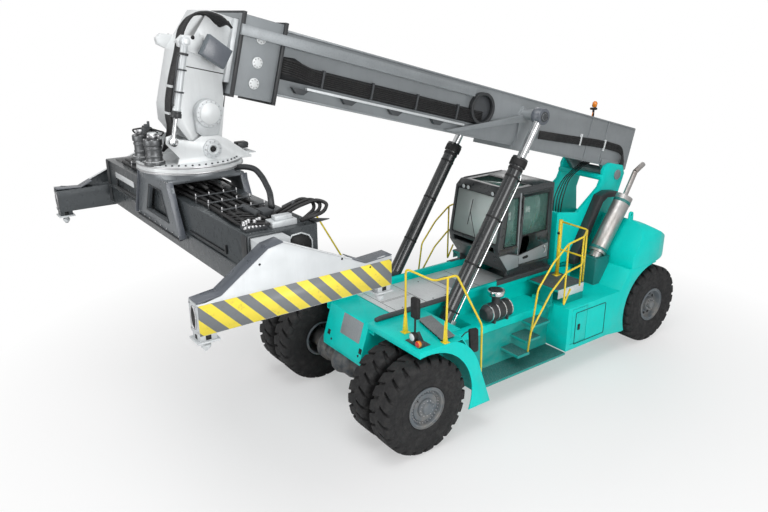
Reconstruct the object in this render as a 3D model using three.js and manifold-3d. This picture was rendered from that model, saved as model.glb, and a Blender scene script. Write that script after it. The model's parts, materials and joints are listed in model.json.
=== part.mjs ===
// Reach stacker: a four-wheeled port machine with a telescopic boom and a container spreader.
// Millimetres, +X forwards, +Y to the driver's left, +Z up, wheels standing on z = 0.
// Stations along X are first given from the front axle; the whole group is then centred.
import * as THREE from 'three';
import { mergeVertices } from 'three/addons/utils/BufferGeometryUtils.js';
import Module from 'manifold-3d';

const wasm = await Module();
wasm.setup();

// ---------------------------------------------------------------- driving dimensions
const GAP = 0.3;                     // clearance between pieces that touch
const RUN = 8;                       // running clearance between pieces that slide or turn

const WHEELBASE = 6430;
const TYRE_RADIUS = 826;
const TYRE_WIDTH = 480;
const RIM_RADIUS = 340;
const FRONT_OUTER_TYRE_Y = 1846;     // centre planes of the twin front tyres
const FRONT_INNER_TYRE_Y = 1256;
const REAR_TYRE_Y = 1490;
const KINGPIN_Y = 1215;
const REAR_X = -WHEELBASE;

const FRAME_HALF_WIDTH = 590;        // outer faces of the two frame rails
const FRAME_PLATE = 60;
const FRAME_BOTTOM = 560;
const DECK_Z = 1760;                 // top of the front deck
const SILL_Y = 1200;                 // outer face of the side sill
const SILL_TOP = 1350;
const BODY_Y = 1700;                 // outer face of side boxes and rear fenders
const FENDER_Y = 2090;               // outer face of the front fenders
const WALKWAY_Z = 500;

const COUNTERWEIGHT_FRONT = -5600;
const COUNTERWEIGHT_REAR = -7700;
const COUNTERWEIGHT_BOTTOM = 1790;
const COUNTERWEIGHT_TOP = 2650;

const BOOM_ANGLE = THREE.MathUtils.degToRad(14.5);
const BOOM_PIVOT_X = -6380;
const BOOM_PIVOT_Z = 3420;
const BOOM_HALF_WIDTH = 450;
const BOOM_BOTTOM = 134;             // heights above the pivot, square to the boom
const BOOM_TOP = 1020;
const BOOM_REAR = -410;              // stations along the boom from the pivot
const BOOM_FRONT = 8900;
const BOOM_WALL = 20;

const SPREADER_X = 2660;             // slewing axis of the spreader
const YOKE_PIN_X = 2530;
const YOKE_PIN_Z = 4970;
const SPREADER_HALF_LENGTH = 3040;   // outer faces of the end beams, closed to twenty feet
const END_BEAM_HALF = 1230;          // half of an end beam's length across the container
const TWISTLOCK_X = 1129;            // half the distance between twistlocks
const TWISTLOCK_Y = 2926;
const BEAM_HALF_LENGTH = 2650;       // main spreader beam
const BEAM_HALF_WIDTH = 440;
const BEAM_BOTTOM = 3690;
const BEAM_TOP = 4390;

const LIFT_FOOT_X = -1080;
const LIFT_FOOT_Z = 1050;
const LIFT_EYE_X = -3510;
const LIFT_EYE_Z = 4920;
const LIFT_Y = 868;
const LIFT_EYE_HALF = 90;
const LIFT_FOOT_HALF = 135;
const LIFT_BARREL_RADIUS = 125;
const LIFT_BARREL_LENGTH = 3740;

const CAB_HALF_WIDTH = 680;
const CAB_REAR = -4270;
const CAB_FLOOR = 2000;
const CAB_ROOF = 3580;
const CAB_WALL = 50;

// The group is centred on its own length: end beams in front, counterweight behind.
const FRONT_END = SPREADER_X + END_BEAM_HALF;
const CENTRE_X = (FRONT_END + COUNTERWEIGHT_REAR) / 2;

// ---------------------------------------------------------------- finishes
const finish = (color, roughness, metalness) => ({ color, roughness, metalness });
const TURQUOISE = finish(0x0fbdb1, 0.42, 0.1);
const LIGHT_GREY = finish(0xa9adb0, 0.45, 0.3);
const MID_GREY = finish(0x6c7074, 0.5, 0.3);
const DARK_GREY = finish(0x3a3d40, 0.55, 0.3);
const BLACK = finish(0x191a1b, 0.6, 0.1);
const RUBBER = finish(0x252525, 0.85, 0.0);
const YELLOW = finish(0xf4d63a, 0.45, 0.1);
const STEEL = finish(0xb9bcc0, 0.3, 0.9);
const ORANGE = finish(0xf0a020, 0.3, 0.0);

// ---------------------------------------------------------------- solids
// Every piece is worked out as a manifold solid from three.js geometry.
function solidOf(geometry) {
  const bare = geometry.index ? geometry.toNonIndexed() : geometry.clone();
  for (const name of Object.keys(bare.attributes)) {
    if (name !== 'position') bare.deleteAttribute(name);
  }
  const merged = mergeVertices(bare, 1e-4);
  return solidFrom(merged.attributes.position.array, merged.index.array);
}

// Points and triangles become a solid; triangles that face inwards are turned over.
function solidFrom(points, corners) {
  const make = (triangles) => new wasm.Manifold(new wasm.Mesh({
    numProp: 3,
    vertProperties: new Float32Array(points),
    triVerts: new Uint32Array(triangles),
  }));
  const solid = make(corners);
  return solid.volume() > 0 ? solid : make(turnedOver(corners));
}

function turnedOver(corners) {
  const flipped = Array.from(corners);
  for (let i = 0; i < flipped.length; i += 3) {
    [flipped[i], flipped[i + 1]] = [flipped[i + 1], flipped[i]];
  }
  return flipped;
}

function join(first, ...others) {
  return others.reduce((whole, piece) => whole.add(piece), first);
}

function cut(first, ...tools) {
  return tools.reduce((whole, tool) => whole.subtract(tool), first);
}

function box(x0, x1, y0, y1, z0, z1) {
  const geometry = new THREE.BoxGeometry(x1 - x0, y1 - y0, z1 - z0);
  geometry.translate((x0 + x1) / 2, (y0 + y1) / 2, (z0 + z1) / 2);
  return solidOf(geometry);
}

// A cylinder along X, Y or Z with its middle at the given point.
function rod(axis, radius, length, x, y, z, sides = 24) {
  const geometry = new THREE.CylinderGeometry(radius, radius, length, sides);
  if (axis === 'x') geometry.rotateZ(Math.PI / 2);
  if (axis === 'z') geometry.rotateX(Math.PI / 2);
  geometry.translate(x, y, z);
  return solidOf(geometry);
}

// A straight bar of round section from one point to another.
function bar(from, to, radius, sides = 6) {
  const start = new THREE.Vector3(...from);
  const end = new THREE.Vector3(...to);
  const along = end.clone().sub(start);
  const geometry = new THREE.CylinderGeometry(radius, radius, along.length(), sides);
  const turn = new THREE.Quaternion().setFromUnitVectors(
    new THREE.Vector3(0, 1, 0), along.clone().normalize());
  geometry.applyQuaternion(turn);
  const middle = start.add(end).multiplyScalar(0.5);
  geometry.translate(middle.x, middle.y, middle.z);
  return solidOf(geometry);
}

// Round bar bent through the given points; the straights run a little past each corner.
function bentBar(points, radius, sides = 6) {
  const corners = points.map((point) => new THREE.Vector3(...point));
  const last = corners.length - 1;
  const pieces = [];
  for (let i = 1; i <= last; i += 1) {
    const along = corners[i].clone().sub(corners[i - 1]).setLength(radius * 0.6);
    const from = i > 1 ? corners[i - 1].clone().sub(along) : corners[0];
    const to = i < last ? corners[i].clone().add(along) : corners[last];
    pieces.push(bar(from, to, radius, sides));
  }
  return join(...pieces);
}

function shapeOf(outline) {
  if (outline instanceof THREE.Shape) return outline;
  return new THREE.Shape(outline.map(([a, b]) => new THREE.Vector2(a, b)));
}

function extrude(outline, from, to, xAxis, yAxis, zAxis, curveSegments) {
  const geometry = new THREE.ExtrudeGeometry(shapeOf(outline), {
    depth: to - from, bevelEnabled: false, curveSegments,
  });
  geometry.translate(0, 0, from);
  geometry.applyMatrix4(new THREE.Matrix4().makeBasis(xAxis, yAxis, zAxis));
  return solidOf(geometry);
}

const X = new THREE.Vector3(1, 0, 0);
const Y = new THREE.Vector3(0, 1, 0);
const Z = new THREE.Vector3(0, 0, 1);
const MINUS_Y = new THREE.Vector3(0, -1, 0);

// Side outline (x, z) through the width y0..y1.
function side(outline, y0, y1, curveSegments = 10) {
  return extrude(outline, -y1, -y0, X, Z, MINUS_Y, curveSegments);
}

// Front outline (y, z) through the length x0..x1.
function section(outline, x0, x1, curveSegments = 10) {
  return extrude(outline, x0, x1, Y, Z, X, curveSegments);
}

// Plan outline (x, y) through the height z0..z1.
function plan(outline, z0, z1, curveSegments = 10) {
  return extrude(outline, z0, z1, X, Y, Z, curveSegments);
}

// The same piece on the machine's right-hand side.
function mirrored(solid) {
  const mesh = solid.getMesh();
  const points = Array.from(mesh.vertProperties);
  for (let i = 1; i < points.length; i += 3) points[i] = -points[i];
  return solidFrom(points, turnedOver(mesh.triVerts));
}

// A turned piece about the X, Y or Z axis. The profile lists (radius, distance along the axis).
function turned(axis, profile, x, y, z, segments = 32, start = 0) {
  const points = profile.map(([radius, along]) => new THREE.Vector2(radius, along));
  const geometry = new THREE.LatheGeometry(points, segments, start);
  if (axis === 'x') geometry.rotateZ(-Math.PI / 2);
  if (axis === 'z') geometry.rotateX(Math.PI / 2);
  geometry.translate(x, y, z);
  return solidOf(geometry);
}

// ---------------------------------------------------------------- scene graph
const machine = new THREE.Group();
machine.position.x = -CENTRE_X;

function add(name, solid, look, parent = machine) {
  const mesh = solid.getMesh();
  const geometry = new THREE.BufferGeometry();
  geometry.setAttribute('position', new THREE.BufferAttribute(new Float32Array(mesh.vertProperties), 3));
  geometry.setIndex(new THREE.BufferAttribute(new Uint32Array(mesh.triVerts), 1));
  geometry.computeVertexNormals();
  const piece = new THREE.Mesh(geometry, new THREE.MeshStandardMaterial(look));
  piece.name = name;
  parent.add(piece);
  return piece;
}

function addPair(name, solid, look, parent = machine) {
  add(`${name}_left`, solid, look, parent);
  add(`${name}_right`, mirrored(solid), look, parent);
}

// ---------------------------------------------------------------- chassis
const REAR_HALF_WIDTH = 420;                  // the frame narrows between the steered wheels
const ARCH_RADIUS = TYRE_RADIUS + 122;        // rear wheel arch, clear of the steered tyre
const FRONT_ARCH_RADIUS = TYRE_RADIUS + 60;
const FRAME_TOP = DECK_Z - 20;

function mainFrame() {
  const rail = [
    [60, FRAME_TOP], [250, 1120], [250, 1000], [-1300, FRAME_BOTTOM], [-5100, FRAME_BOTTOM],
    [-5100, 1640], [-4500, FRAME_TOP], [-500, FRAME_TOP],
  ];
  const inner = FRAME_HALF_WIDTH - FRAME_PLATE;
  const railBand = side(rail, inner, FRAME_HALF_WIDTH);
  const frontPlate = side([
    [60, FRAME_TOP], [250, 1120], [250, 1000], [190, 1000], [190, 1110], [10, FRAME_TOP],
  ], -inner - 10, inner + 10);
  const hood = box(-500, 60, -inner - 10, inner + 10, FRAME_TOP - 40, FRAME_TOP);
  const middleTie = box(-2700, -2500, -inner - 10, inner + 10, FRAME_BOTTOM, 1100);
  const rearTie = box(-5100, -4900, -inner - 10, inner + 10, FRAME_BOTTOM, 1640);
  const tail = side([
    [-4950, 1640], [-4950, 700], [-5500, 1010], [-7300, 1010], [-7300, COUNTERWEIGHT_BOTTOM - GAP],
    [-5300, COUNTERWEIGHT_BOTTOM - GAP],
  ], -REAR_HALF_WIDTH, REAR_HALF_WIDTH);
  const crossFloor = box(-4900, -2700, -inner - 10, inner + 10, FRAME_BOTTOM, FRAME_BOTTOM + 20);
  const cylinderFeet = [-1, 1].map((way) => {
    const cheek = side([
      [LIFT_FOOT_X - 170, 760], [LIFT_FOOT_X + 170, 760], [LIFT_FOOT_X + 150, LIFT_FOOT_Z + 90],
      [LIFT_FOOT_X, LIFT_FOOT_Z + 150], [LIFT_FOOT_X - 150, LIFT_FOOT_Z + 90],
    ], FRAME_HALF_WIDTH - 20, LIFT_Y - LIFT_FOOT_HALF - GAP);
    return way > 0 ? cheek : mirrored(cheek);
  });
  return join(railBand, mirrored(railBand), frontPlate, hood, middleTie, rearTie, tail, crossFloor,
    ...cylinderFeet);
}

// Grey plates that close the frame between the front hood and the cab.
add('deck_plates', box(-3300, -500 - GAP, -FRAME_HALF_WIDTH, FRAME_HALF_WIDTH, FRAME_TOP + GAP, DECK_Z),
  LIGHT_GREY);

// Rails that the cab slides along.
const CAB_RAIL_Y = 680;
const CAB_RAIL_TOP = 1870;
function cabRail() {
  const rail = box(-4480, -150, CAB_RAIL_Y - 30, CAB_RAIL_Y + 30, 1790, CAB_RAIL_TOP);
  const bracket = box(-4480, -150, FRAME_HALF_WIDTH - 10, CAB_RAIL_Y + 10, 1690, 1730);
  const riser = box(-4480, -150, CAB_RAIL_Y - 20, CAB_RAIL_Y + 10, 1700, 1800);
  return join(rail, bracket, riser);
}

// Front fender: a deck over the twin tyres, a side skirt and a sloping rear plate.
const FENDER_PLATE = 16;
function frontFender() {
  const inboard = FRAME_HALF_WIDTH + GAP;
  const skirtOutline = new THREE.Shape();
  skirtOutline.moveTo(180, 1845);
  skirtOutline.lineTo(180, 1745);
  skirtOutline.absarc(0, TYRE_RADIUS, FRONT_ARCH_RADIUS + 50, Math.PI / 2 - 0.05, Math.PI + 0.36, false);
  skirtOutline.lineTo(-1360, 500);
  skirtOutline.lineTo(-1060, 1300);
  skirtOutline.quadraticCurveTo(-900, 1700, -520, 1845);
  const skirt = side(skirtOutline, FENDER_Y - FENDER_PLATE, FENDER_Y);
  const deckEdge = CAB_RAIL_Y + 40;
  const deck = box(-700, 180, deckEdge, FENDER_Y, 1845 - FENDER_PLATE, 1845);
  const apron = box(180 - FENDER_PLATE, 180, deckEdge, FENDER_Y, 1745, 1845);
  const hanger = box(-600, 60, deckEdge, deckEdge + FENDER_PLATE, 1580, 1845);
  const shelf = box(-600, 60, inboard, deckEdge + FENDER_PLATE, 1580, 1600);
  const back = side([
    [-690, 1845], [-1060, 1300], [-1345, 520], [-1360, 500], [-1345, 500],
    [-1040, 1300], [-670, 1845],
  ], SILL_Y - 100, FENDER_Y);
  const innerDeck = box(-900, -640, deckEdge, FENDER_Y - 300, 1829, 1845);
  return join(skirt, deck, apron, hanger, shelf, back, innerDeck);
}
addPair('front_fender', frontFender(), TURQUOISE);

const FRONT_HUB_Y = FRONT_INNER_TYRE_Y - TYRE_WIDTH / 2 + 450;

// Drive axle: centre housing with its differential, and the ribbed brake housings.
function driveAxle() {
  const tube = rod('y', 170, 2 * (FRONT_HUB_Y - GAP), 0, 0, TYRE_RADIUS, 20);
  const differential = turned('y', [[0, -230], [250, -230], [300, -150], [300, 150], [250, 230], [0, 230]],
    0, 0, TYRE_RADIUS, 20);
  const nose = new THREE.SphereGeometry(225, 14, 8);
  nose.translate(170, -60, TYRE_RADIUS);
  const pieces = [tube, differential, solidOf(nose)];
  for (const way of [-1, 1]) {
    for (const station of [640, 700, 760]) {
      pieces.push(rod('y', 285, 30, 0, way * station, TYRE_RADIUS, 20));
    }
    pieces.push(rod('y', 250, 400, 0, way * 590, TYRE_RADIUS, 20));
    pieces.push(box(-160, 160, way * 330 - 70, way * 330 + 70, TYRE_RADIUS, 1000));
  }
  return join(...pieces);
}
add('drive_axle', cut(driveAxle(),
  box(-400, 400, -FRAME_HALF_WIDTH - GAP, -FRAME_HALF_WIDTH + FRAME_PLATE + GAP, 830, 2000),
  box(-400, 400, FRAME_HALF_WIDTH - FRAME_PLATE - GAP, FRAME_HALF_WIDTH + GAP, 830, 2000),
  box(190 - GAP, 400, -FRAME_HALF_WIDTH, FRAME_HALF_WIDTH, 1000 - GAP, 1200)),
DARK_GREY);

// Sill: the box that runs beside the frame between the front fender and the side box.
function sill() {
  const outline = [
    [FRAME_HALF_WIDTH - 10, 700], [SILL_Y, 560], [SILL_Y, SILL_TOP], [LIFT_Y + 150, SILL_TOP],
    [LIFT_Y + 150, 1000], [FRAME_HALF_WIDTH - 10, 1000],
  ];
  const trough = section(outline, -3740, -1400);
  const shoulder = box(-3740, -1900, FRAME_HALF_WIDTH - 10, LIFT_Y + 160, 900, SILL_TOP);
  return join(trough, shoulder);
}
const chassis = join(mainFrame(), cabRail(), mirrored(cabRail()), sill(), mirrored(sill()));
add('main_frame', chassis, TURQUOISE);

// Side box behind the steps: hollow, with a hatch in its outer face.
const BOX_WALL = 12;
const BOX_FRONT = -3745;
const BOX_REAR = -5000;
const BOX_TOP = 1400;
const HATCH = { front: -3870, rear: -4300, bottom: 640, top: 1350, plate: 14 };
function sideBox() {
  const y0 = FRAME_HALF_WIDTH + 180;
  const shell = cut(
    box(BOX_REAR, BOX_FRONT, y0, BODY_Y, 520, BOX_TOP),
    box(BOX_REAR + BOX_WALL, BOX_FRONT - BOX_WALL, y0 + BOX_WALL, BODY_Y - BOX_WALL,
      520 + BOX_WALL, BOX_TOP - BOX_WALL));
  const lug = box(BOX_REAR + 100, BOX_FRONT - 100, FRAME_HALF_WIDTH + GAP, y0 + 5, 700, 900);
  return join(shell, lug);
}
// Fixed halves of two hinges in the gap in front of a door that opens outwards.
function hingeBlocks(doorFront, faceY, heights) {
  return join(...heights.map((z) => box(doorFront + GAP, doorFront + RUN + 12,
    faceY - 5, faceY + 5, z, z + 60)));
}

const hatchHinges = hingeBlocks(HATCH.front, BODY_Y, [HATCH.bottom + 80, HATCH.top - 140]);
const hatchHole = box(HATCH.rear - RUN, HATCH.front + RUN, BODY_Y - 60, BODY_Y + 60,
  HATCH.bottom - RUN, HATCH.top + RUN);
const hatch = box(HATCH.rear, HATCH.front, BODY_Y - HATCH.plate, BODY_Y, HATCH.bottom, HATCH.top);
add('box_hatch_left', hatch, TURQUOISE);
add('box_hatch_right', mirrored(hatch), TURQUOISE);

// Rear fender: from the side box round the front of the steered wheel.
function rearFender() {
  const outline = new THREE.Shape();
  outline.moveTo(BOX_REAR + 6, 520);
  outline.lineTo(-5500, 460);
  outline.absarc(REAR_X, TYRE_RADIUS, ARCH_RADIUS, -0.38, Math.PI / 2, false);
  outline.lineTo(REAR_X, COUNTERWEIGHT_BOTTOM - GAP);
  outline.lineTo(-5560, COUNTERWEIGHT_BOTTOM - GAP);
  outline.lineTo(-5300, BOX_TOP);
  outline.lineTo(BOX_REAR + 6, BOX_TOP);
  return cut(side(outline, REAR_HALF_WIDTH + GAP, BODY_Y),
    box(-5150, BOX_REAR + 50, REAR_HALF_WIDTH, FRAME_HALF_WIDTH + 160, 300, 1800));
}
addPair('side_box', join(cut(sideBox(), hatchHole), hatchHinges, rearFender()), TURQUOISE);

// Counterweight: broad block with rounded rear corners and shoulders.
function counterweight() {
  const half = BODY_Y;
  const corner = 1500;
  const outline = new THREE.Shape();
  outline.moveTo(COUNTERWEIGHT_FRONT, -half);
  outline.lineTo(COUNTERWEIGHT_FRONT, half);
  outline.lineTo(COUNTERWEIGHT_REAR + corner, half);
  outline.absarc(COUNTERWEIGHT_REAR + corner, half - corner, corner, Math.PI / 2, Math.PI, false);
  outline.lineTo(COUNTERWEIGHT_REAR, corner - half);
  outline.absarc(COUNTERWEIGHT_REAR + corner, corner - half, corner, Math.PI, Math.PI * 1.5, false);
  const body = plan(outline, COUNTERWEIGHT_BOTTOM, COUNTERWEIGHT_TOP, 12);
  const shoulder = 420;
  const across = new THREE.Shape();
  across.moveTo(-half, COUNTERWEIGHT_BOTTOM);
  across.lineTo(half, COUNTERWEIGHT_BOTTOM);
  across.lineTo(half, COUNTERWEIGHT_TOP - shoulder);
  across.absarc(half - shoulder, COUNTERWEIGHT_TOP - shoulder, shoulder, 0, Math.PI / 2, false);
  across.lineTo(shoulder - half, COUNTERWEIGHT_TOP);
  across.absarc(shoulder - half, COUNTERWEIGHT_TOP - shoulder, shoulder, Math.PI / 2, Math.PI, false);
  const profile = new THREE.Shape();
  profile.moveTo(COUNTERWEIGHT_FRONT, COUNTERWEIGHT_BOTTOM);
  profile.lineTo(COUNTERWEIGHT_FRONT - 10, 2030);
  profile.lineTo(COUNTERWEIGHT_FRONT - 440, COUNTERWEIGHT_TOP);
  profile.lineTo(COUNTERWEIGHT_REAR + 1600, COUNTERWEIGHT_TOP - 10);
  profile.quadraticCurveTo(COUNTERWEIGHT_REAR + 800, 2200, COUNTERWEIGHT_REAR, 1850);
  profile.lineTo(COUNTERWEIGHT_REAR, COUNTERWEIGHT_BOTTOM);
  const block = body
    .intersect(section(across, COUNTERWEIGHT_REAR - 10, COUNTERWEIGHT_FRONT + 10, 6))
    .intersect(side(profile, -half - 10, half + 10, 7));
  const seat = box(TOWER_REAR - GAP, COUNTERWEIGHT_FRONT + 10, -TOWER_OUTER - GAP, TOWER_OUTER + GAP,
    COUNTERWEIGHT_BOTTOM - 10, COUNTERWEIGHT_TOP + 10);
  const eyes = [-1, 1].map((way) => liftingEye(-6100, way * 1200, COUNTERWEIGHT_TOP));
  return join(cut(block, seat), ...eyes);
}

function liftingEye(x, y, z) {
  const plate = new THREE.Shape();
  plate.moveTo(x - 70, z - 60);
  plate.lineTo(x + 70, z - 60);
  plate.lineTo(x + 60, z + 90);
  plate.absarc(x, z + 90, 60, 0, Math.PI, false);
  const hole = rod('y', 28, 80, x, y, z + 90, 12);
  return cut(side(plate, y - 20, y + 20, 6), hole);
}

// Tower: two side plates that carry the boom pivot, tied by a block at the foot and a cross tube.
const PIVOT_PIN_RADIUS = 105;
const TOWER_INNER = 500;
const TOWER_OUTER = 570;
const TOWER_REAR = -6500;
function boomTower() {
  const leg = [
    [-5900, 3560], [-5960, 3650], [-6120, 3700], [-6540, 3600], [-6620, 3420], [-6560, 3250],
    [-6440, 2950], [TOWER_REAR, 2450], [TOWER_REAR, 1790 + GAP], [-4560, 1790 + GAP], [-4560, 2880],
    [-4640, 2880], [-5180, 2790], [-5800, 3230], [-5900, 3440],
  ];
  const left = side(leg, TOWER_INNER, TOWER_OUTER);
  const pinHole = rod('y', PIVOT_PIN_RADIUS + 1.3, 200, BOOM_PIVOT_X, TOWER_INNER + 30, BOOM_PIVOT_Z, 36);
  const bored = cut(left, pinHole);
  const block = side([
    [-4560, 1790 + GAP], [-4560, 2880], [-4640, 2880], [-5080, 2600], [-5600, 2350], [TOWER_REAR, 2200],
    [TOWER_REAR, 1790 + GAP],
  ], -TOWER_INNER - 10, TOWER_INNER + 10);
  const tie = rod('y', 60, 2 * TOWER_OUTER - 20, -5905, 0, 3415, 16);
  return join(bored, mirrored(bored), block, tie, liftingEye(-5100, 300, 2580),
    liftingEye(-5100, -300, 2580));
}
add('boom_tower', boomTower(), TURQUOISE);
add('counterweight', counterweight(), TURQUOISE);

// Engine and transmission, one block low between the frame rails.
add('engine_block', box(-4700, -3100, -430, 430, FRAME_BOTTOM + 20 + GAP, 1600), DARK_GREY);

// Steered rear axle: a beam hung under the tail with a fork for each kingpin.
function rearAxle() {
  const beam = section([
    [-820, 700], [820, 700], [900, 760], [900, 890], [820, 950], [260, 1010 - GAP], [-260, 1010 - GAP],
    [-820, 950], [-900, 890], [-900, 760],
  ], REAR_X - 170, REAR_X + 170);
  const forks = [-1, 1].map((way) => {
    const y0 = Math.min(way * 860, way * (KINGPIN_Y + 80));
    const y1 = Math.max(way * 860, way * (KINGPIN_Y + 80));
    return cut(box(REAR_X - 90, REAR_X + 90, y0, y1, TYRE_RADIUS - 230, TYRE_RADIUS + 230),
      box(REAR_X - 100, REAR_X + 100, Math.min(way * 950, way * 1400), Math.max(way * 950, way * 1400),
        TYRE_RADIUS - 160, TYRE_RADIUS + 160));
  });
  return join(beam, ...forks);
}
add('rear_axle', rearAxle(), DARK_GREY);

// ---------------------------------------------------------------- wheels
// Tyre section (radius, y) about its centre plane: tread, shoulders, walls and bead.
// A flat of the tread lies on the ground, so the tread's corners stand a little outside its radius.
const TYRE_SIDES = 36;
function tyre(x, y, z) {
  const half = TYRE_WIDTH / 2;
  const bead = (RIM_RADIUS + GAP) / Math.cos(Math.PI / TYRE_SIDES);
  const tread = TYRE_RADIUS / Math.cos(Math.PI / TYRE_SIDES);
  const wall = TYRE_RADIUS - 150;
  return turned('y', [
    [bead, -half + 40], [wall, -half], [tread - 40, -half + 25], [tread, -half + 80],
    [tread, half - 80], [tread - 40, half - 25], [wall, half], [bead, half - 40], [bead, -half + 40],
  ], x, y, z, TYRE_SIDES, Math.PI / TYRE_SIDES);
}

// Twin rim: one barrel under both tyres, closed by a dished disc with the hub in its middle.
function frontRim() {
  const inner = FRONT_INNER_TYRE_Y - TYRE_WIDTH / 2 + 30;
  const outer = FRONT_OUTER_TYRE_Y + TYRE_WIDTH / 2 - 20;
  return turned('y', [
    [0, FRONT_HUB_Y], [300, FRONT_HUB_Y], [300, inner], [RIM_RADIUS, inner], [RIM_RADIUS, outer],
    [300, outer], [285, outer - 60], [245, outer - 70], [235, outer - 40], [0, outer - 40],
  ], 0, 0, TYRE_RADIUS, 30);
}

function rearRim() {
  const inner = REAR_TYRE_Y - TYRE_WIDTH / 2 + 30;
  const outer = REAR_TYRE_Y + TYRE_WIDTH / 2 - 20;
  return turned('y', [
    [0, inner + 260], [300, inner + 260], [300, inner], [RIM_RADIUS, inner], [RIM_RADIUS, outer],
    [300, outer], [280, outer - 110], [150, outer - 110], [140, outer - 30], [0, outer - 30],
  ], REAR_X, 0, TYRE_RADIUS, 30);
}
for (const [name, y] of [['outer', FRONT_OUTER_TYRE_Y], ['inner', FRONT_INNER_TYRE_Y]]) {
  addPair(`front_${name}_tyre`, tyre(0, y, TYRE_RADIUS), RUBBER);
}
addPair('front_rim', frontRim(), MID_GREY);
addPair('rear_tyre', tyre(REAR_X, REAR_TYRE_Y, TYRE_RADIUS), RUBBER);
addPair('rear_rim', rearRim(), MID_GREY);

// Steering knuckle: kingpin block between the axle's forks, with the wheel spindle.
function knuckle() {
  const block = rod('z', 78, 2 * (160 - GAP), REAR_X, KINGPIN_Y, TYRE_RADIUS, 24);
  const spindleEnd = REAR_TYRE_Y - TYRE_WIDTH / 2 + 30 + 260 - GAP;
  const spindle = rod('y', 70, spindleEnd - KINGPIN_Y, REAR_X, (spindleEnd + KINGPIN_Y) / 2,
    TYRE_RADIUS, 24);
  return join(block, spindle);
}
addPair('knuckle', knuckle(), DARK_GREY);

// ---------------------------------------------------------------- access and equipment
// Walkway along the sill, three treads and the platform beside the cab.
const TREADS = [
  { x0: -2770, x1: -2470, y1: 1660, z: 800 },
  { x0: -3130, x1: -2720, y1: 1590, z: 1000 },
  { x0: -3440, x1: -3020, y1: 1520, z: 1200 },
];
function walkway() {
  const face = SILL_Y + GAP;
  const floor = box(BOX_FRONT + GAP, -1400, face, BODY_Y, WALKWAY_Z - 40, WALKWAY_Z);
  const back = box(BOX_FRONT + GAP, -1400, face, face + 12, WALKWAY_Z - 40, 1200);
  const treads = TREADS.map((tread) => box(tread.x0, tread.x1, face, tread.y1, tread.z - 50, tread.z));
  return join(floor, back, ...treads);
}

const PLATFORM_Z = 1740;
function cabPlatform() {
  const lower = box(BOX_FRONT + GAP, -3560, LIFT_Y + 170, 1330, SILL_TOP + GAP, 1390);
  const front = box(BOX_FRONT + GAP, -3560, SILL_Y + GAP, SILL_Y + 20, 1190, 1390);
  const riser = box(-3700, -3650, LIFT_Y + 170, 1330, 1385, PLATFORM_Z);
  const top = box(-4420, -3640, CAB_RAIL_Y + 80, 1480, PLATFORM_Z - 40, PLATFORM_Z);
  const skirt = box(-4400, -3900, 800, 1470, BOX_TOP + GAP, 1705);
  return join(lower, front, riser, top, skirt);
}
addPair('walkway', join(walkway(), cabPlatform()), DARK_GREY);

// Hand rails in yellow tube.
const RAIL = 19;
function frontRail() {
  const deck = 1845 + GAP;
  const top = 2930;
  return join(
    bentBar([[-100, 1370, deck], [-100, 1370, top], [-300, 1810, top - 110], [-370, 2048, top],
      [-550, 2048, top], [-1130, 2048, 1940], [-1155, 2048, 1090]], RAIL),
    bar([-370, 2048, deck], [-370, 2048, top], RAIL),
    rod('z', 34, 60, -100, 1370, deck + 30, 10),
    rod('z', 34, 60, -370, 2048, deck + 30, 10));
}

function rearRail() {
  const y = 1640;
  const foot = TREADS[0].z + GAP;
  const postX = CAB_REAR + 10;
  return join(
    bentBar([[-2740, y, foot], [-2740, y, foot + 40], [-2900, y, 1990], [-3260, y, 2420], [-3640, y, 2700],
      [-4060, y, 2760], [-4390, 1450, 2790], [postX, 920, 2850]], RAIL),
    bentBar([[-2740, y, foot + 20], [-2790, y, 1200], [-3260, y, 1850], [-3640, y, 2150], [-4060, y, 2210],
      [-4390, 1450, 2240], [postX, 920, 2290]], RAIL),
    bar([-4060, y, 2760], [-4060, y, BOX_TOP + GAP], RAIL),
    bentBar([[-3640, y, 2700], [-3640, y, 1500], [-3800, y, BOX_TOP + 40], [-3800, y, BOX_TOP + GAP]], RAIL),
    bar([-4390, 1450, 2790], [-4390, 1450, PLATFORM_Z + GAP], RAIL),
    bar([postX, 920, 2880], [postX, 920, PLATFORM_Z + GAP], 2 * RAIL, 8));
}
addPair('rear_handrail', rearRail(), YELLOW);

// Air cleaner lying beside the cab on the left sill, with its rain cap.
function airCleaner() {
  const y = 1120;
  const z = 1540;
  const drum = turned('x', [[0, 0], [150, 0], [170, 30], [170, 520], [120, 600], [0, 600]], -2700, y, z);
  const neck = rod('z', 80, 320, -2380, y, z + 200, 16);
  const cap = turned('z', [[0, 0], [140, 0], [150, 40], [110, 110], [0, 130]], -2380, y, z + 300, 20);
  const foot = box(-2560, -2300, y - 70, y + 60, SILL_TOP + GAP, z - 100);
  return join(drum, neck, cap, foot);
}

add('air_cleaner', airCleaner(), BLACK);

// Exhaust: leaning muffler on a box base, with the tail pipe above it.
function exhaust() {
  const y = 1000;
  const low = [-5360, y, 2020];
  const high = [-6100, y, 3080];
  const pipeTop = [-6370, y, 3560];
  return join(
    bar(low, high, 175, 24),
    bar([-6080, y, 3050], pipeTop, 52, 16),
    bar(pipeTop, [-6620, y, 3690], 52, 16),
    bar([-5290, y, 1920], low, 120, 20),
    side([[-5292, BOX_TOP + GAP], [-5120, BOX_TOP + GAP], [-5150, 1960], [-5520, 1960], [-5545, 1800]],
      y - 170, y + 170));
}
add('exhaust', exhaust(), STEEL);

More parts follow.
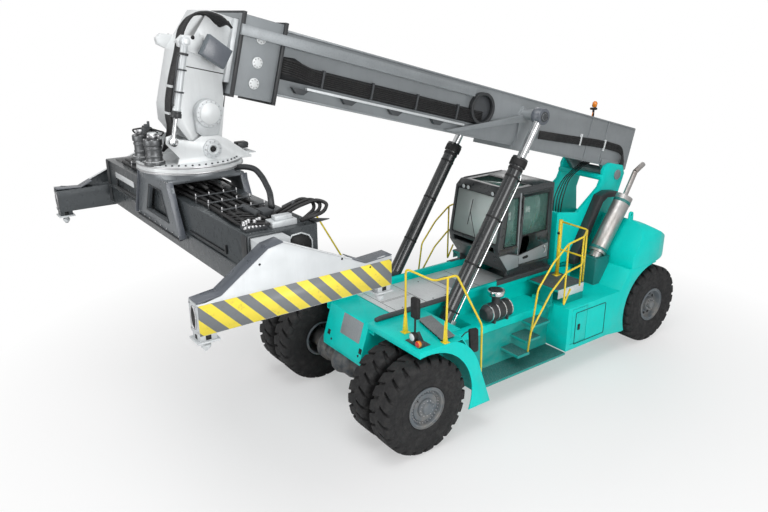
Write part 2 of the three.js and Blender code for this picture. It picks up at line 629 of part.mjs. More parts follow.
// Intake duct that leans beside the tower.
function intakeDuct() {
  const y0 = TOWER_OUTER + GAP;
  return join(
    side([[-4960, 1850], [-5160, 1850], [-5740, 2960], [-5880, 3040], [-6190, 3010], [-6210, 3120],
      [-5900, 3160], [-5650, 3100]], y0, y0 + 190),
    box(-5160, -4960, y0, y0 + 190, 1760, 1860));
}
add('intake_duct', intakeDuct(), BLACK);

// Mirror on a post with a lamp and a tail light at its foot.
function mirrorPost() {
  const deck = 1845 + GAP;
  return join(
    bentBar([[40, 1790, deck], [40, 1790, 2320]], 18),
    box(0, 80, 1730, 1890, 2270, 2610),
    rod('x', 75, 90, 50, 1850, deck + 90, 20),
    box(-135, 80, 1335, 1970, deck, deck + 12),
    box(0, 80, 1790, 1970, deck, deck + 70),
    rod('x', 45, 60, 80, 1935, deck + 70, 16));
}
addPair('front_handrail', join(frontRail(), mirrorPost()), YELLOW);

// ---------------------------------------------------------------- cab
const DOOR = { front: -3385, rear: -4215, bottom: 2075, top: 3480, plate: 40 };
function cabShell() {
  const outline = [
    [CAB_REAR, CAB_FLOOR], [CAB_REAR, CAB_ROOF], [-3080, CAB_ROOF], [-2960, 3470], [-2810, 2520],
    [-2850, 2360], [-3120, CAB_FLOOR],
  ];
  const inside = [
    [CAB_REAR + CAB_WALL, CAB_FLOOR + CAB_WALL], [CAB_REAR + CAB_WALL, CAB_ROOF - CAB_WALL],
    [-3105, CAB_ROOF - CAB_WALL], [-3010, 3450], [-2862, 2520], [-2898, 2385], [-3140, CAB_FLOOR + CAB_WALL],
  ];
  const half = CAB_HALF_WIDTH;
  const windscreen = box(-3060, -2700, -half + 60, half - 60, 2560, 3430);
  const lowerScreen = box(-3000, -2700, -half + 120, half - 120, 2400, 2500);
  const rightGlass = side([
    [DOOR.rear, 2560], [DOOR.rear, 3430], [-3060, 3430], [-2960, 2560],
  ], -half - 10, -half + CAB_WALL + 10);
  const leftGlass = side([
    [DOOR.front + 60, 2480], [DOOR.front + 60, 3430], [-3060, 3430], [-2950, 2480],
  ], half - CAB_WALL - 10, half + 10);
  const doorway = box(DOOR.rear - RUN, DOOR.front + RUN, half - CAB_WALL - 10, half + 10,
    DOOR.bottom - RUN, DOOR.top + RUN);
  const rearGlass = box(CAB_REAR - 10, CAB_REAR + CAB_WALL + 10, -half + 90, half - 90, 2640, 3430);
  const roofGlass = box(-3700, -3200, -half + 160, half - 160, CAB_ROOF - CAB_WALL - 10, CAB_ROOF + 10);
  return cut(side(outline, -half, half), side(inside, -half + CAB_WALL, half - CAB_WALL), windscreen,
    lowerScreen, rightGlass, leftGlass, doorway, rearGlass, roofGlass);
}
function cabSkids() {
  const skid = box(CAB_REAR, -3100, CAB_RAIL_Y - 60, CAB_RAIL_Y - 20, CAB_RAIL_TOP + GAP, CAB_FLOOR + 5);
  const cross = box(CAB_REAR + 60, -3200, -CAB_RAIL_Y + 25, CAB_RAIL_Y - 25, 1920, 1960);
  return join(skid, mirrored(skid), cross);
}
const doorHinges = hingeBlocks(DOOR.front, CAB_HALF_WIDTH, [DOOR.bottom + 150, DOOR.top - 210]);
add('cab_shell', join(cabShell(), cabSkids(), doorHinges), MID_GREY);

function cabDoor() {
  const leaf = box(DOOR.rear, DOOR.front, CAB_HALF_WIDTH - DOOR.plate, CAB_HALF_WIDTH, DOOR.bottom, DOOR.top);
  const glass = box(DOOR.rear + 70, DOOR.front - 70, CAB_HALF_WIDTH - 60, CAB_HALF_WIDTH + 10, 2640,
    DOOR.top - 70);
  const handleX = DOOR.rear + 50;
  const handleY = CAB_HALF_WIDTH + 30;
  const handle = bar([handleX, handleY, 2440], [handleX, handleY, 2580], 10);
  const stems = [2450, 2570].map((z) => bar([handleX, CAB_HALF_WIDTH - 5, z], [handleX, handleY, z], 8));
  return join(cut(leaf, glass), handle, ...stems);
}
add('cab_door', cabDoor(), DARK_GREY);

const SEAT_X = -3820;
const SEAT_Z = CAB_FLOOR + CAB_WALL;
function seat() {
  const back = side([
    [SEAT_X - 240, SEAT_Z + 300], [SEAT_X - 180, SEAT_Z + 300], [SEAT_X - 180, SEAT_Z + 460],
    [SEAT_X - 105, SEAT_Z + 480], [SEAT_X - 190, SEAT_Z + 1120], [SEAT_X - 300, SEAT_Z + 1120],
  ], -240, 240);
  const pedestal = box(SEAT_X - 200, SEAT_X + 200, -190, 190, SEAT_Z + GAP, SEAT_Z + 330);
  const pan = box(SEAT_X - 230, SEAT_X + 230, -230, 230, SEAT_Z + 300, SEAT_Z + 350);
  return join(back, pedestal, pan);
}
add('driver_seat', seat(), BLACK);
add('seat_cushion', box(SEAT_X - 180 + GAP, SEAT_X + 250, -240, 240,
  SEAT_Z + 350 + GAP, SEAT_Z + 458), BLACK);

function controls() {
  const column = bar([-3220, 0, SEAT_Z + 20], [-3290, 0, SEAT_Z + 700], 55, 12);
  const foot = box(-3300, -3160, -90, 90, SEAT_Z + GAP, SEAT_Z + 40);
  const wheel = new THREE.TorusGeometry(190, 16, 6, 18);
  wheel.rotateY(0.35);
  wheel.translate(-3268, 0, SEAT_Z + 720);
  const spoke = box(-3290, -3250, -185, 185, SEAT_Z + 700, SEAT_Z + 730);
  return join(column, foot, solidOf(wheel), spoke);
}
add('steering_column', controls(), BLACK);

// ---------------------------------------------------------------- boom
// Pieces of the boom are drawn along it: u forwards from the pivot, w square to it.
const boomFrame = new THREE.Group();
boomFrame.position.set(BOOM_PIVOT_X, 0, BOOM_PIVOT_Z);
boomFrame.rotation.y = -BOOM_ANGLE;
machine.add(boomFrame);

// A point of the boom in the machine's own X and Z.
function boomPoint(u, w) {
  return [
    BOOM_PIVOT_X + u * Math.cos(BOOM_ANGLE) - w * Math.sin(BOOM_ANGLE),
    BOOM_PIVOT_Z + u * Math.sin(BOOM_ANGLE) + w * Math.cos(BOOM_ANGLE),
  ];
}

function alongBoom(x, z) {
  const dx = x - BOOM_PIVOT_X;
  const dz = z - BOOM_PIVOT_Z;
  return [
    dx * Math.cos(BOOM_ANGLE) + dz * Math.sin(BOOM_ANGLE),
    -dx * Math.sin(BOOM_ANGLE) + dz * Math.cos(BOOM_ANGLE),
  ];
}

const COLLAR_REAR = 8250;
function outerBoom() {
  const half = BOOM_HALF_WIDTH;
  const tube = box(BOOM_REAR, BOOM_FRONT, -half, half, BOOM_BOTTOM, BOOM_TOP);
  const bore = box(BOOM_REAR + 300, BOOM_FRONT + 10, -half + BOOM_WALL, half - BOOM_WALL,
    BOOM_BOTTOM + BOOM_WALL, BOOM_TOP - BOOM_WALL);
  const collar = cut(
    box(COLLAR_REAR, BOOM_FRONT, -half - 60, half + 60, 20, BOOM_TOP + 55),
    box(COLLAR_REAR - 10, BOOM_FRONT + 10, -half + 10, half - 10, BOOM_BOTTOM + 10, BOOM_TOP - 10));
  const lug = side([
    [-330, BOOM_BOTTOM + 20], [-150, -110], [-60, -150], [60, -150], [150, -110], [520, BOOM_BOTTOM + 20],
  ], TOWER_INNER - 100, TOWER_INNER - RUN);
  const flank = box(-330, 520, half - 30, TOWER_INNER - RUN, BOOM_BOTTOM - 5, BOOM_BOTTOM + 120);
  const pin = rod('y', PIVOT_PIN_RADIUS, 2 * TOWER_OUTER + 30, 0, 0, 0, 36);
  const tray = box(4550, BOOM_FRONT, half - 5, half + 130, 800, 940);
  return join(cut(join(tube, collar, tray), bore), lug, mirrored(lug), flank, mirrored(flank), pin);
}
// Saddle under the boom whose stub pins carry the two lift cylinders.
const [EYE_U, EYE_W] = alongBoom(LIFT_EYE_X, LIFT_EYE_Z);
function liftSaddle() {
  const inner = BOOM_HALF_WIDTH - 5;
  const cheek = side([
    [EYE_U - 120, EYE_W - 20], [EYE_U - 60, EYE_W + 130], [EYE_U + 60, EYE_W + 130],
    [EYE_U + 120, EYE_W - 20], [EYE_U + 60, 250], [EYE_U + 150, 60], [EYE_U - 350, 60], [EYE_U - 250, 250],
  ], inner, inner + 60);
  const stub = rod('y', 95, LIFT_Y - LIFT_EYE_HALF - GAP - inner, EYE_U,
    (LIFT_Y - LIFT_EYE_HALF - GAP + inner) / 2, EYE_W, 28);
  const strap = box(EYE_U - 350, EYE_U + 150, -inner - 60, inner + 60, 60, BOOM_BOTTOM + 5);
  return join(cheek, mirrored(cheek), stub, mirrored(stub), strap);
}
add('outer_boom', join(outerBoom(), liftSaddle()), MID_GREY, boomFrame);

add('beacon', join(
  rod('z', 9, 220, 900, 250, BOOM_TOP + GAP + 110, 10),
  rod('z', 45, 20, 900, 250, BOOM_TOP + 220, 16),
  turned('z', [[0, 0], [50, 0], [50, 70], [30, 100], [0, 105]], 900, 250, BOOM_TOP + 228, 16),
  rod('z', 40, 14, 900, 250, BOOM_TOP + GAP + 7, 12)), ORANGE, boomFrame);

// Inner boom, with wear pads at its rear end.
const INNER_REAR = 620;
const INNER_FRONT = 8960;
function innerBoom() {
  const outside = BOOM_WALL + RUN;
  const half = BOOM_HALF_WIDTH - outside;
  const tube = box(INNER_REAR, INNER_FRONT, -half, half, BOOM_BOTTOM + outside, BOOM_TOP - outside);
  const pads = box(INNER_REAR + 20, INNER_REAR + 320, -BOOM_HALF_WIDTH + BOOM_WALL + GAP,
    BOOM_HALF_WIDTH - BOOM_WALL - GAP, BOOM_BOTTOM + BOOM_WALL + GAP, BOOM_TOP - BOOM_WALL - GAP);
  const bore = box(INNER_REAR - 10, INNER_FRONT - 60, -half + 20, half - 20, BOOM_BOTTOM + outside + 20,
    BOOM_TOP - outside - 20);
  return cut(join(tube, pads), bore);
}
add('inner_boom', innerBoom(), LIGHT_GREY, boomFrame);

// Boom head: gooseneck that carries the spreader pin below the boom.
const HEAD_HALF = 360;
const HEAD_PLATE = 40;
const HEAD_PIN_RADIUS = 90;
function boomHead() {
  const outline = new THREE.Shape();
  outline.moveTo(...boomPoint(INNER_FRONT + GAP, 995));
  outline.lineTo(...boomPoint(9300, 1010));
  outline.lineTo(2534, 6500);
  outline.lineTo(2735, 6230);
  outline.lineTo(2930, 5520);
  outline.lineTo(2930, 5300);
  outline.lineTo(YOKE_PIN_X + 140, YOKE_PIN_Z - 55);
  outline.absarc(YOKE_PIN_X, YOKE_PIN_Z, 150, -0.37, -Math.PI + 0.1, true);
  outline.lineTo(2330, 5030);
  outline.lineTo(2250, 5500);
  outline.lineTo(...boomPoint(INNER_FRONT + GAP, 150));
  const hollow = [
    [2120, 6420], [2300, 5560], [2390, 4700], [2690, 4700], [2860, 5320], [2860, 5500], [2660, 6190],
    [2470, 6440],
  ];
  const plates = cut(side(outline, -HEAD_HALF, HEAD_HALF),
    side(hollow, -HEAD_HALF + HEAD_PLATE, HEAD_HALF - HEAD_PLATE),
    rod('y', HEAD_PIN_RADIUS, 2 * HEAD_HALF + 20, YOKE_PIN_X, 0, YOKE_PIN_Z, 36));
  const bracket = side([
    [DAMPER_TOP_X - 260, 6150], [DAMPER_TOP_X - 60, 6230], [DAMPER_TOP_X + 60, DAMPER_TOP_Z - 60],
    [DAMPER_TOP_X + 75, DAMPER_TOP_Z + 20], [DAMPER_TOP_X, DAMPER_TOP_Z + 80], [DAMPER_TOP_X - 260, 6400],
  ], HEAD_HALF - 10, DAMPER_Y - DAMPER_EYE_HALF - GAP);
  return join(plates, bracket, mirrored(bracket));
}
const DAMPER_TOP_X = 2770;
const DAMPER_TOP_Z = 6350;
const DAMPER_LOW_X = 3050;
const DAMPER_LOW_Z = 5110;
const DAMPER_Y = 480;
const DAMPER_EYE_HALF = 50;
add('boom_head', boomHead(), LIGHT_GREY);

// ---------------------------------------------------------------- cylinders
// A cylinder is drawn along +X from its foot at the origin, inside a group that leans it.
function cylinderFrame(foot, eye) {
  const frame = new THREE.Group();
  frame.position.set(foot[0], 0, foot[1]);
  frame.rotation.y = -Math.atan2(eye[1] - foot[1], eye[0] - foot[0]);
  machine.add(frame);
  return frame;
}

function cylinderBarrel(length, radius, rodRadius, eyeRadius, eyeHalf, y) {
  const bore = rodRadius + (radius - rodRadius) * 0.4;
  const body = turned('x', [
    [0, eyeRadius * 0.6], [radius, eyeRadius * 0.6], [radius, length - 0.04 * length],
    [radius * 1.16, length - 0.04 * length], [radius * 1.16, length], [rodRadius + 0.7, length],
    [rodRadius + 0.7, length * 0.95], [bore, length * 0.95], [bore, eyeRadius * 1.5], [0, eyeRadius * 1.5],
  ], 0, y, 0, 24);
  return join(body, rod('y', eyeRadius, 2 * eyeHalf, 0, y, 0, 24));
}

function cylinderRod(from, to, radius, eyeRadius, eyeHalf, y) {
  const shaft = rod('x', radius, to - from - eyeRadius * 0.5, (from + to - eyeRadius * 0.5) / 2, y, 0, 24);
  return join(shaft, rod('y', eyeRadius, 2 * eyeHalf, to, y, 0, 24));
}

const LIFT_LENGTH = Math.hypot(LIFT_EYE_X - LIFT_FOOT_X, LIFT_EYE_Z - LIFT_FOOT_Z);
const LIFT_ROD_RADIUS = 77;
const liftFrame = cylinderFrame([LIFT_FOOT_X, LIFT_FOOT_Z], [LIFT_EYE_X, LIFT_EYE_Z]);
addPair('lift_barrel', cylinderBarrel(LIFT_BARREL_LENGTH, LIFT_BARREL_RADIUS, LIFT_ROD_RADIUS, 120,
  LIFT_FOOT_HALF, LIFT_Y), BLACK, liftFrame);
addPair('lift_rod', cylinderRod(900, LIFT_LENGTH, LIFT_ROD_RADIUS, 125, LIFT_EYE_HALF, LIFT_Y), STEEL,
  liftFrame);

const DAMPER_LENGTH = Math.hypot(DAMPER_LOW_X - DAMPER_TOP_X, DAMPER_LOW_Z - DAMPER_TOP_Z);
const damperFrame = cylinderFrame([DAMPER_TOP_X, DAMPER_TOP_Z], [DAMPER_LOW_X, DAMPER_LOW_Z]);
add('damper_barrel', cylinderBarrel(870, 46, 27, 60, DAMPER_EYE_HALF, DAMPER_Y), LIGHT_GREY, damperFrame);
add('damper_rod', cylinderRod(300, DAMPER_LENGTH, 27, 55, DAMPER_EYE_HALF, DAMPER_Y), STEEL, damperFrame);

// ---------------------------------------------------------------- spreader
// Yoke: hangs on the head pin, tilts to stay level and carries the slewing ring and its motors.
const YOKE_BASE = 4760;
const YOKE_PLATE_Y = 390;
const RING_RADIUS = 715;
const MOTOR_X = 3230;
const MOTOR_Y = 225;
function yoke() {
  const plate = [
    [3000, YOKE_BASE + 20], [2960, 4880], [3120, 5080], [3110, 5170], [3030, 5190], [2960, 5130],
    [2750, 5080],
    [2620, 5150], [2440, 5150], [2270, 5060], [1930, YOKE_BASE + 50], [1930, YOKE_BASE + 20],
  ];
  const cheek = side(plate, YOKE_PLATE_Y, DAMPER_Y - DAMPER_EYE_HALF - GAP);
  const disc = rod('z', RING_RADIUS, 110, SPREADER_X, 0, YOKE_BASE - 15, 36);
  const pin = rod('y', HEAD_PIN_RADIUS - 0.7, 2 * YOKE_PLATE_Y + 90, YOKE_PIN_X, 0, YOKE_PIN_Z, 36);
  const motor = turned('z', [
    [0, 0], [125, 0], [125, 60], [95, 60], [95, 260], [110, 270], [110, 330], [60, 340], [60, 430], [0, 430],
  ], MOTOR_X, MOTOR_Y, YOKE_BASE + 30, 14);
  return join(cheek, mirrored(cheek), disc, pin, motor, mirrored(motor));
}
add('yoke', yoke(), LIGHT_GREY);

// Slewing frame: ring, top plate and two trapezoid side plates that straddle the beam.
const FRAME_RING_TOP = YOKE_BASE - 70 - GAP;
const SHOE_HALF = 850;
const FLANGE = 30;                            // lip on each side of the beam that rides on the shoes
const SHOE_TOP = 3960;
function slewFrame() {
  const ring = rod('z', RING_RADIUS - 25, 80, SPREADER_X, 0, FRAME_RING_TOP - 40, 36);
  const top = box(SPREADER_X - BEAM_HALF_WIDTH - 95, SPREADER_X + BEAM_HALF_WIDTH + 95, -560, 560,
    FRAME_RING_TOP - 120, FRAME_RING_TOP - 70);
  const inner = BEAM_HALF_WIDTH + FLANGE + RUN;
  const cheek = cut(
    section([
      [-SHOE_HALF, 3900], [SHOE_HALF, 3900], [560, FRAME_RING_TOP - 80], [-560, FRAME_RING_TOP - 80],
    ], SPREADER_X + inner, SPREADER_X + inner + 60),
    section([[-420, 4050], [420, 4050], [230, 4430], [-230, 4430]], SPREADER_X + inner - 10,
      SPREADER_X + inner + 70));
  const shoe = box(SPREADER_X + BEAM_HALF_WIDTH + GAP, SPREADER_X + inner + 40, -SHOE_HALF, SHOE_HALF,
    3900, SHOE_TOP);
  const rearCheek = turnedAbout(cheek);
  return join(ring, top, cheek, shoe, rearCheek, turnedAbout(shoe));
}

// The same piece turned half round the slewing axis.
function turnedAbout(solid) {
  const mesh = solid.getMesh();
  const points = Array.from(mesh.vertProperties);
  for (let i = 0; i < points.length; i += 3) {
    points[i] = 2 * SPREADER_X - points[i];
    points[i + 1] = -points[i + 1];
  }
  return solidFrom(points, mesh.triVerts);
}
add('slew_frame', slewFrame(), LIGHT_GREY);

// Main beam with two pockets side by side, one open at each end, for the telescopic arms.
const BEAM_WALL = 20;
const POCKET_GAP = 10;
function spreaderBeam() {
  const pocket = box(SPREADER_X + POCKET_GAP, SPREADER_X + BEAM_HALF_WIDTH - BEAM_WALL,
    -BEAM_HALF_LENGTH + BEAM_WALL, BEAM_HALF_LENGTH + 10, BEAM_BOTTOM + BEAM_WALL, BEAM_TOP - BEAM_WALL);
  const window = rod('y', 90, 100, SPREADER_X + BEAM_HALF_WIDTH / 2, -BEAM_HALF_LENGTH, 4060, 24);
  const shell = box(SPREADER_X - BEAM_HALF_WIDTH, SPREADER_X + BEAM_HALF_WIDTH, -BEAM_HALF_LENGTH,
    BEAM_HALF_LENGTH, BEAM_BOTTOM, BEAM_TOP);
  const flange = box(SPREADER_X - BEAM_HALF_WIDTH - FLANGE, SPREADER_X + BEAM_HALF_WIDTH + FLANGE,
    -BEAM_HALF_LENGTH, BEAM_HALF_LENGTH, SHOE_TOP + GAP, SHOE_TOP + 30);
  return cut(join(shell, flange), pocket, turnedAbout(pocket), window, turnedAbout(window));
}
add('spreader_beam', spreaderBeam(), MID_GREY);

// Telescopic arm and end beam with its twistlocks.
const ARM_INNER_END = -900;
const END_BEAM_INNER = 2812;
const END_PLATE = 20;
const TWISTLOCK_FACE = 3470;
function endBeam() {
  const edge = RUN + POCKET_GAP;
  const armX0 = SPREADER_X + edge;
  const armX1 = SPREADER_X + BEAM_HALF_WIDTH - BEAM_WALL - RUN;
  const armZ0 = BEAM_BOTTOM + BEAM_WALL + RUN;
  const armZ1 = BEAM_TOP - BEAM_WALL - RUN;
  const arm = cut(
    box(armX0, armX1, ARM_INNER_END, END_BEAM_INNER + 20, armZ0, armZ1),
    box(armX0 + 15, armX1 - 15, ARM_INNER_END - 10, END_BEAM_INNER - 30, armZ0 + 15, armZ1 - 15));
  const pad = RUN - GAP;
  const pads = cut(
    box(armX0 - pad, armX1 + pad, ARM_INNER_END + 20, ARM_INNER_END + 160, armZ0 - pad, armZ1 + pad),
    box(armX0 + 5, armX1 - 5, ARM_INNER_END, ARM_INNER_END + 200, armZ0 + 5, armZ1 - 5));
  const x0 = SPREADER_X - END_BEAM_HALF;
  const x1 = SPREADER_X + END_BEAM_HALF;
  const y1 = SPREADER_HALF_LENGTH;
  const low = cut(
    box(x0, x1, END_BEAM_INNER, y1, 3560, 3920),
    box(x0 + 30, x1 - 30, END_BEAM_INNER + END_PLATE, y1 - END_PLATE, 3560 + END_PLATE, 3920 - END_PLATE),
    rod('x', 60, 2 * END_BEAM_HALF + 100, SPREADER_X, (END_BEAM_INNER + y1) / 2, 3740, 16));
  const crown = side([
    [x1, 3900], [x1 - 270, 3955], [SPREADER_X + 400, 4350], [SPREADER_X + 220, 4385],
    [SPREADER_X - 660, 4005], [SPREADER_X - 850, 3915], [x0 + 120, 3955], [x0, 3930], [x0, 3860], [x1, 3860],
  ], y1 - END_PLATE, y1);
  const web = box(armX0, armX1, END_BEAM_INNER, y1 - 5, 3900, 4180);
  const locks = [-1, 1].map((way) => twistlock(SPREADER_X + way * TWISTLOCK_X, TWISTLOCK_Y));
  return join(arm, pads, low, crown, web, ...locks);
}

function twistlock(x, y) {
  const housing = box(x - 95, x + 95, y - 95, y + 95, TWISTLOCK_FACE, 3565);
  const shank = rod('z', 34, 80, x, y, TWISTLOCK_FACE - 35, 16);
  const cone = turned('z', [[0, -50], [22, -50], [52, 0], [52, 30], [0, 30]], x, y, TWISTLOCK_FACE - 77, 16);
  return join(housing, shank, cone);
}
add('spreader_end_left', endBeam(), LIGHT_GREY);
add('spreader_end_right', turnedAbout(endBeam()), LIGHT_GREY);

export default machine;
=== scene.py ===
"""Looks of a reach stacker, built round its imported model."""
import json
import math
import random

import bmesh
import bpy
from mathutils import Matrix, Vector


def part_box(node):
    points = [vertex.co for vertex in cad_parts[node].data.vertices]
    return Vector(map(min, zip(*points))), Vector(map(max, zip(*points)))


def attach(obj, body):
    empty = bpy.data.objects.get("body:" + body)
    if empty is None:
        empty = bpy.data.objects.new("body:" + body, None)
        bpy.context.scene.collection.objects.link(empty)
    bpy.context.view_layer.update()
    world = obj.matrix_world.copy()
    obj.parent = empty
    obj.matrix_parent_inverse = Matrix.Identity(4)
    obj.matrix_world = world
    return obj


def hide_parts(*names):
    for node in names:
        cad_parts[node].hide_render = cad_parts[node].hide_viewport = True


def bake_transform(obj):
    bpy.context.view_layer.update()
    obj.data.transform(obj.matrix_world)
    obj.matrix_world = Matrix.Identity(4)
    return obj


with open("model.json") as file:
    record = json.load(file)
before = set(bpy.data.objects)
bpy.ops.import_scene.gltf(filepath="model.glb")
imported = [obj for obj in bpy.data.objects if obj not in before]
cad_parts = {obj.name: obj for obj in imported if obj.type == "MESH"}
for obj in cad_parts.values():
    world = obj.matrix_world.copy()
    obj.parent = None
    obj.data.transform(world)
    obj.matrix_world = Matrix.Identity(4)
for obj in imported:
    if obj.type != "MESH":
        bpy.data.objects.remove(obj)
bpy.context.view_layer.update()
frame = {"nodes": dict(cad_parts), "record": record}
random.seed(7)

PI = math.pi
SIDES = {"left": 1, "right": -1}
BOTH = (1, -1)


def corners(node):
    """Lowest and highest corner of a CAD node, as vectors."""
    low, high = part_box(node)
    return Vector(low), Vector(high)


def several(count, kind):
    """Empty Shapes of one kind."""
    return [kind() for _ in range(count)]


def turns(count):
    """Angles that divide a full turn evenly."""
    return [2 * PI * k / count for k in range(count)]


# ---------------------------------------------------------------- geometry
class Shape:
    """Gathers simple solids into one mesh, which piece() places."""

    def __init__(self, matrix=None):
        self.mesh = bmesh.new()
        self.matrix = matrix or Matrix.Identity(4)

    def ring(self, points):
        return [self.mesh.verts.new(point) for point in points]

    def skin(self, rings):
        """Joins rings of equal length into a closed tube with capped ends."""
        count = len(rings[0])
        for low, high in zip(rings, rings[1:]):
            for i in range(count):
                j = (i + 1) % count
                self.mesh.faces.new((low[i], low[j], high[j], high[i]))
        self.mesh.faces.new(list(reversed(rings[0])))
        self.mesh.faces.new(rings[-1])

    def block(self, x0, x1, y0, y1, z0, z1):
        """Box between two stations on each axis, given in either order."""
        x0, x1 = sorted((x0, x1))
        y0, y1 = sorted((y0, y1))
        low = self.ring([(x0, y0, z0), (x1, y0, z0), (x1, y1, z0), (x0, y1, z0)])
        high = self.ring([(x0, y0, z1), (x1, y0, z1), (x1, y1, z1), (x0, y1, z1)])
        self.skin([low, high])

    def prism(self, outline, plane, low, high):
        """Outline in plane "xz", "yz" or "xy", drawn out along the third axis, bounds in either order."""
        low, high = sorted((low, high))
        def place(a, b, c):
            return {"xz": (a, c, b), "yz": (c, a, b), "xy": (a, b, c)}[plane]
        rings = [self.ring([place(a, b, c) for a, b in outline]) for c in (low, high)]
        self.skin(rings)

    def rod(self, start, end, radius, sides, end_radius=None):
        """Round bar, or a cone where the far end has its own radius."""
        start, end = Vector(start), Vector(end)
        along = (end - start).normalized()
        across = along.orthogonal().normalized()
        other = along.cross(across)
        rings = []
        for point, size in ((start, radius), (end, radius if end_radius is None else end_radius)):
            rings.append(self.ring([point + (across * math.cos(a) + other * math.sin(a)) * size
                                    for a in turns(sides)]))
        self.skin(rings)

    def tube(self, points, radius, sides):
        """Round tube through the points, with the section carried along without twisting."""
        points = [Vector(point) for point in points]
        across = None
        rings = []
        for i, point in enumerate(points):
            before = (point - points[i - 1]).normalized() if i else (points[1] - point).normalized()
            after = (points[i + 1] - point).normalized() if i + 1 < len(points) else before
            along = (before + after).normalized()
            if across is None:
                across = along.orthogonal().normalized()
            across = (across - along * across.dot(along)).normalized()
            other = along.cross(across)
            stretch = 1 / max(0.5, along.dot(before)) if 0 < i < len(points) - 1 else 1
            rings.append(self.ring([point + (across * math.cos(a) + other * math.sin(a)) * radius * stretch
                                    for a in turns(sides)]))
        self.skin(rings)

    def lathe(self, profile, centre, axis, sides):
        """Turned solid; the profile lists (radius, distance along the axis)."""
        centre = Vector(centre)
        rings = []
        for turn in turns(sides):
            c, s = math.cos(turn), math.sin(turn)
            ring = []
            for radius, along in profile:
                offset = {"y": (radius * s, along, radius * c), "x": (along, radius * c, radius * s),
                          "z": (radius * c, radius * s, along)}[axis]
                ring.append(centre + Vector(offset))
            rings.append(self.ring(ring))
        closed = profile[0] == profile[-1]
        count = len(profile)
        for k in range(sides):
            a, b = rings[k], rings[(k + 1) % sides]
            for i in range(count - 1):
                self.mesh.faces.new((a[i], b[i], b[i + 1], a[i + 1]))
        if not closed:
            for index in (0, -1):
                if profile[index][0] > 1e-6:
                    self.mesh.faces.new([ring[index] for ring in rings])

    def bolts(self, points, direction, radius, height):
        """Hexagon heads at the points."""
        direction = Vector(direction).normalized()
        for point in points:
            point = Vector(point)
            self.rod(point, point + direction * height, radius, 6)


def smoothed(obj, degrees):
    obj.data.shade_smooth()
    bpy.context.view_layer.objects.active = obj
    obj.select_set(True)
    bpy.ops.object.shade_auto_smooth(angle=math.radians(degrees))
    obj.select_set(False)


def settle(obj, body, material, bevel, degrees, nodes, bends=None):
    """Gives a piece its material, rounded edges and body."""
    bpy.context.scene.collection.objects.link(obj)
    obj.data.materials.clear()
    obj.data.materials.append(material)
    if bevel:
        rounding = obj.modifiers.new("edges", "BEVEL")
        rounding.width = bevel
        rounding.segments = 2
        rounding.limit_method = "ANGLE"
        rounding.angle_limit = math.radians(40)
        rounding.use_clamp_overlap = True
    smoothed(obj, degrees)
    if bends:
        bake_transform(obj)
    else:
        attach(obj, body)
    if nodes:
        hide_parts(*nodes)
    return obj


def piece(name, shape, body, material, bevel=0.0, degrees=35, nodes=(), bends=None):
    """Turns a Shape into a piece that rides on a body, or, when bends are given, stays fixed where it was
    drawn.
    """
    mesh = bpy.data.meshes.new(name)
    shape.mesh.transform(shape.matrix)
    bmesh.ops.remove_doubles(shape.mesh, verts=shape.mesh.verts, dist=1e-5)
    bmesh.ops.recalc_face_normals(shape.mesh, faces=shape.mesh.faces)
    shape.mesh.to_mesh(mesh)
    shape.mesh.free()
    return settle(bpy.data.objects.new(name, mesh), body, material["look"], bevel,
                  degrees, nodes, bends)


def dressed(node, body, material, bevel):
    """The CAD node's own shape with rounded edges, standing for that node."""
    mesh = bmesh.new()
    mesh.from_mesh(frame["nodes"][node].data)
    mesh.transform(frame["nodes"][node].matrix_world)
    bmesh.ops.remove_doubles(mesh, verts=mesh.verts, dist=1e-5)
    bmesh.ops.dissolve_limit(mesh, angle_limit=math.radians(0.8), verts=mesh.verts, edges=mesh.edges)
    data = bpy.data.meshes.new(node + "_body")
    mesh.to_mesh(data)
    mesh.free()
    obj = bpy.data.objects.new(node + "_body", data)
    return settle(obj, body, material["look"], bevel, 32, (node,))


# ---------------------------------------------------------------- materials
class Tree:
    """Short names for building the node tree of a material or a world."""

    def __init__(self, owner):
        owner.use_nodes = True
        self.tree = owner.node_tree

    def make(self, kind, **settings):
        node = self.tree.nodes.new(kind)
        for key, value in settings.items():
            setattr(node, key, value)
        return node

    def link(self, source, target):
        self.tree.links.new(source, target)

    def ramp(self, value, low, high, start=0.0, end=1.0):
        node = self.make("ShaderNodeMapRange")
        node.inputs["From Min"].default_value = low
        node.inputs["From Max"].default_value = high
        node.inputs["To Min"].default_value = start
        node.inputs["To Max"].default_value = end
        self.link(value, node.inputs["Value"])
        return node.outputs["Result"]

    def maths(self, operation, first, second):
        node = self.make("ShaderNodeMath", operation=operation)
        for index, value in enumerate((first, second)):
            if isinstance(value, (int, float)):
                node.inputs[index].default_value = value
            else:
                self.link(value, node.inputs[index])
        return node.outputs[0]


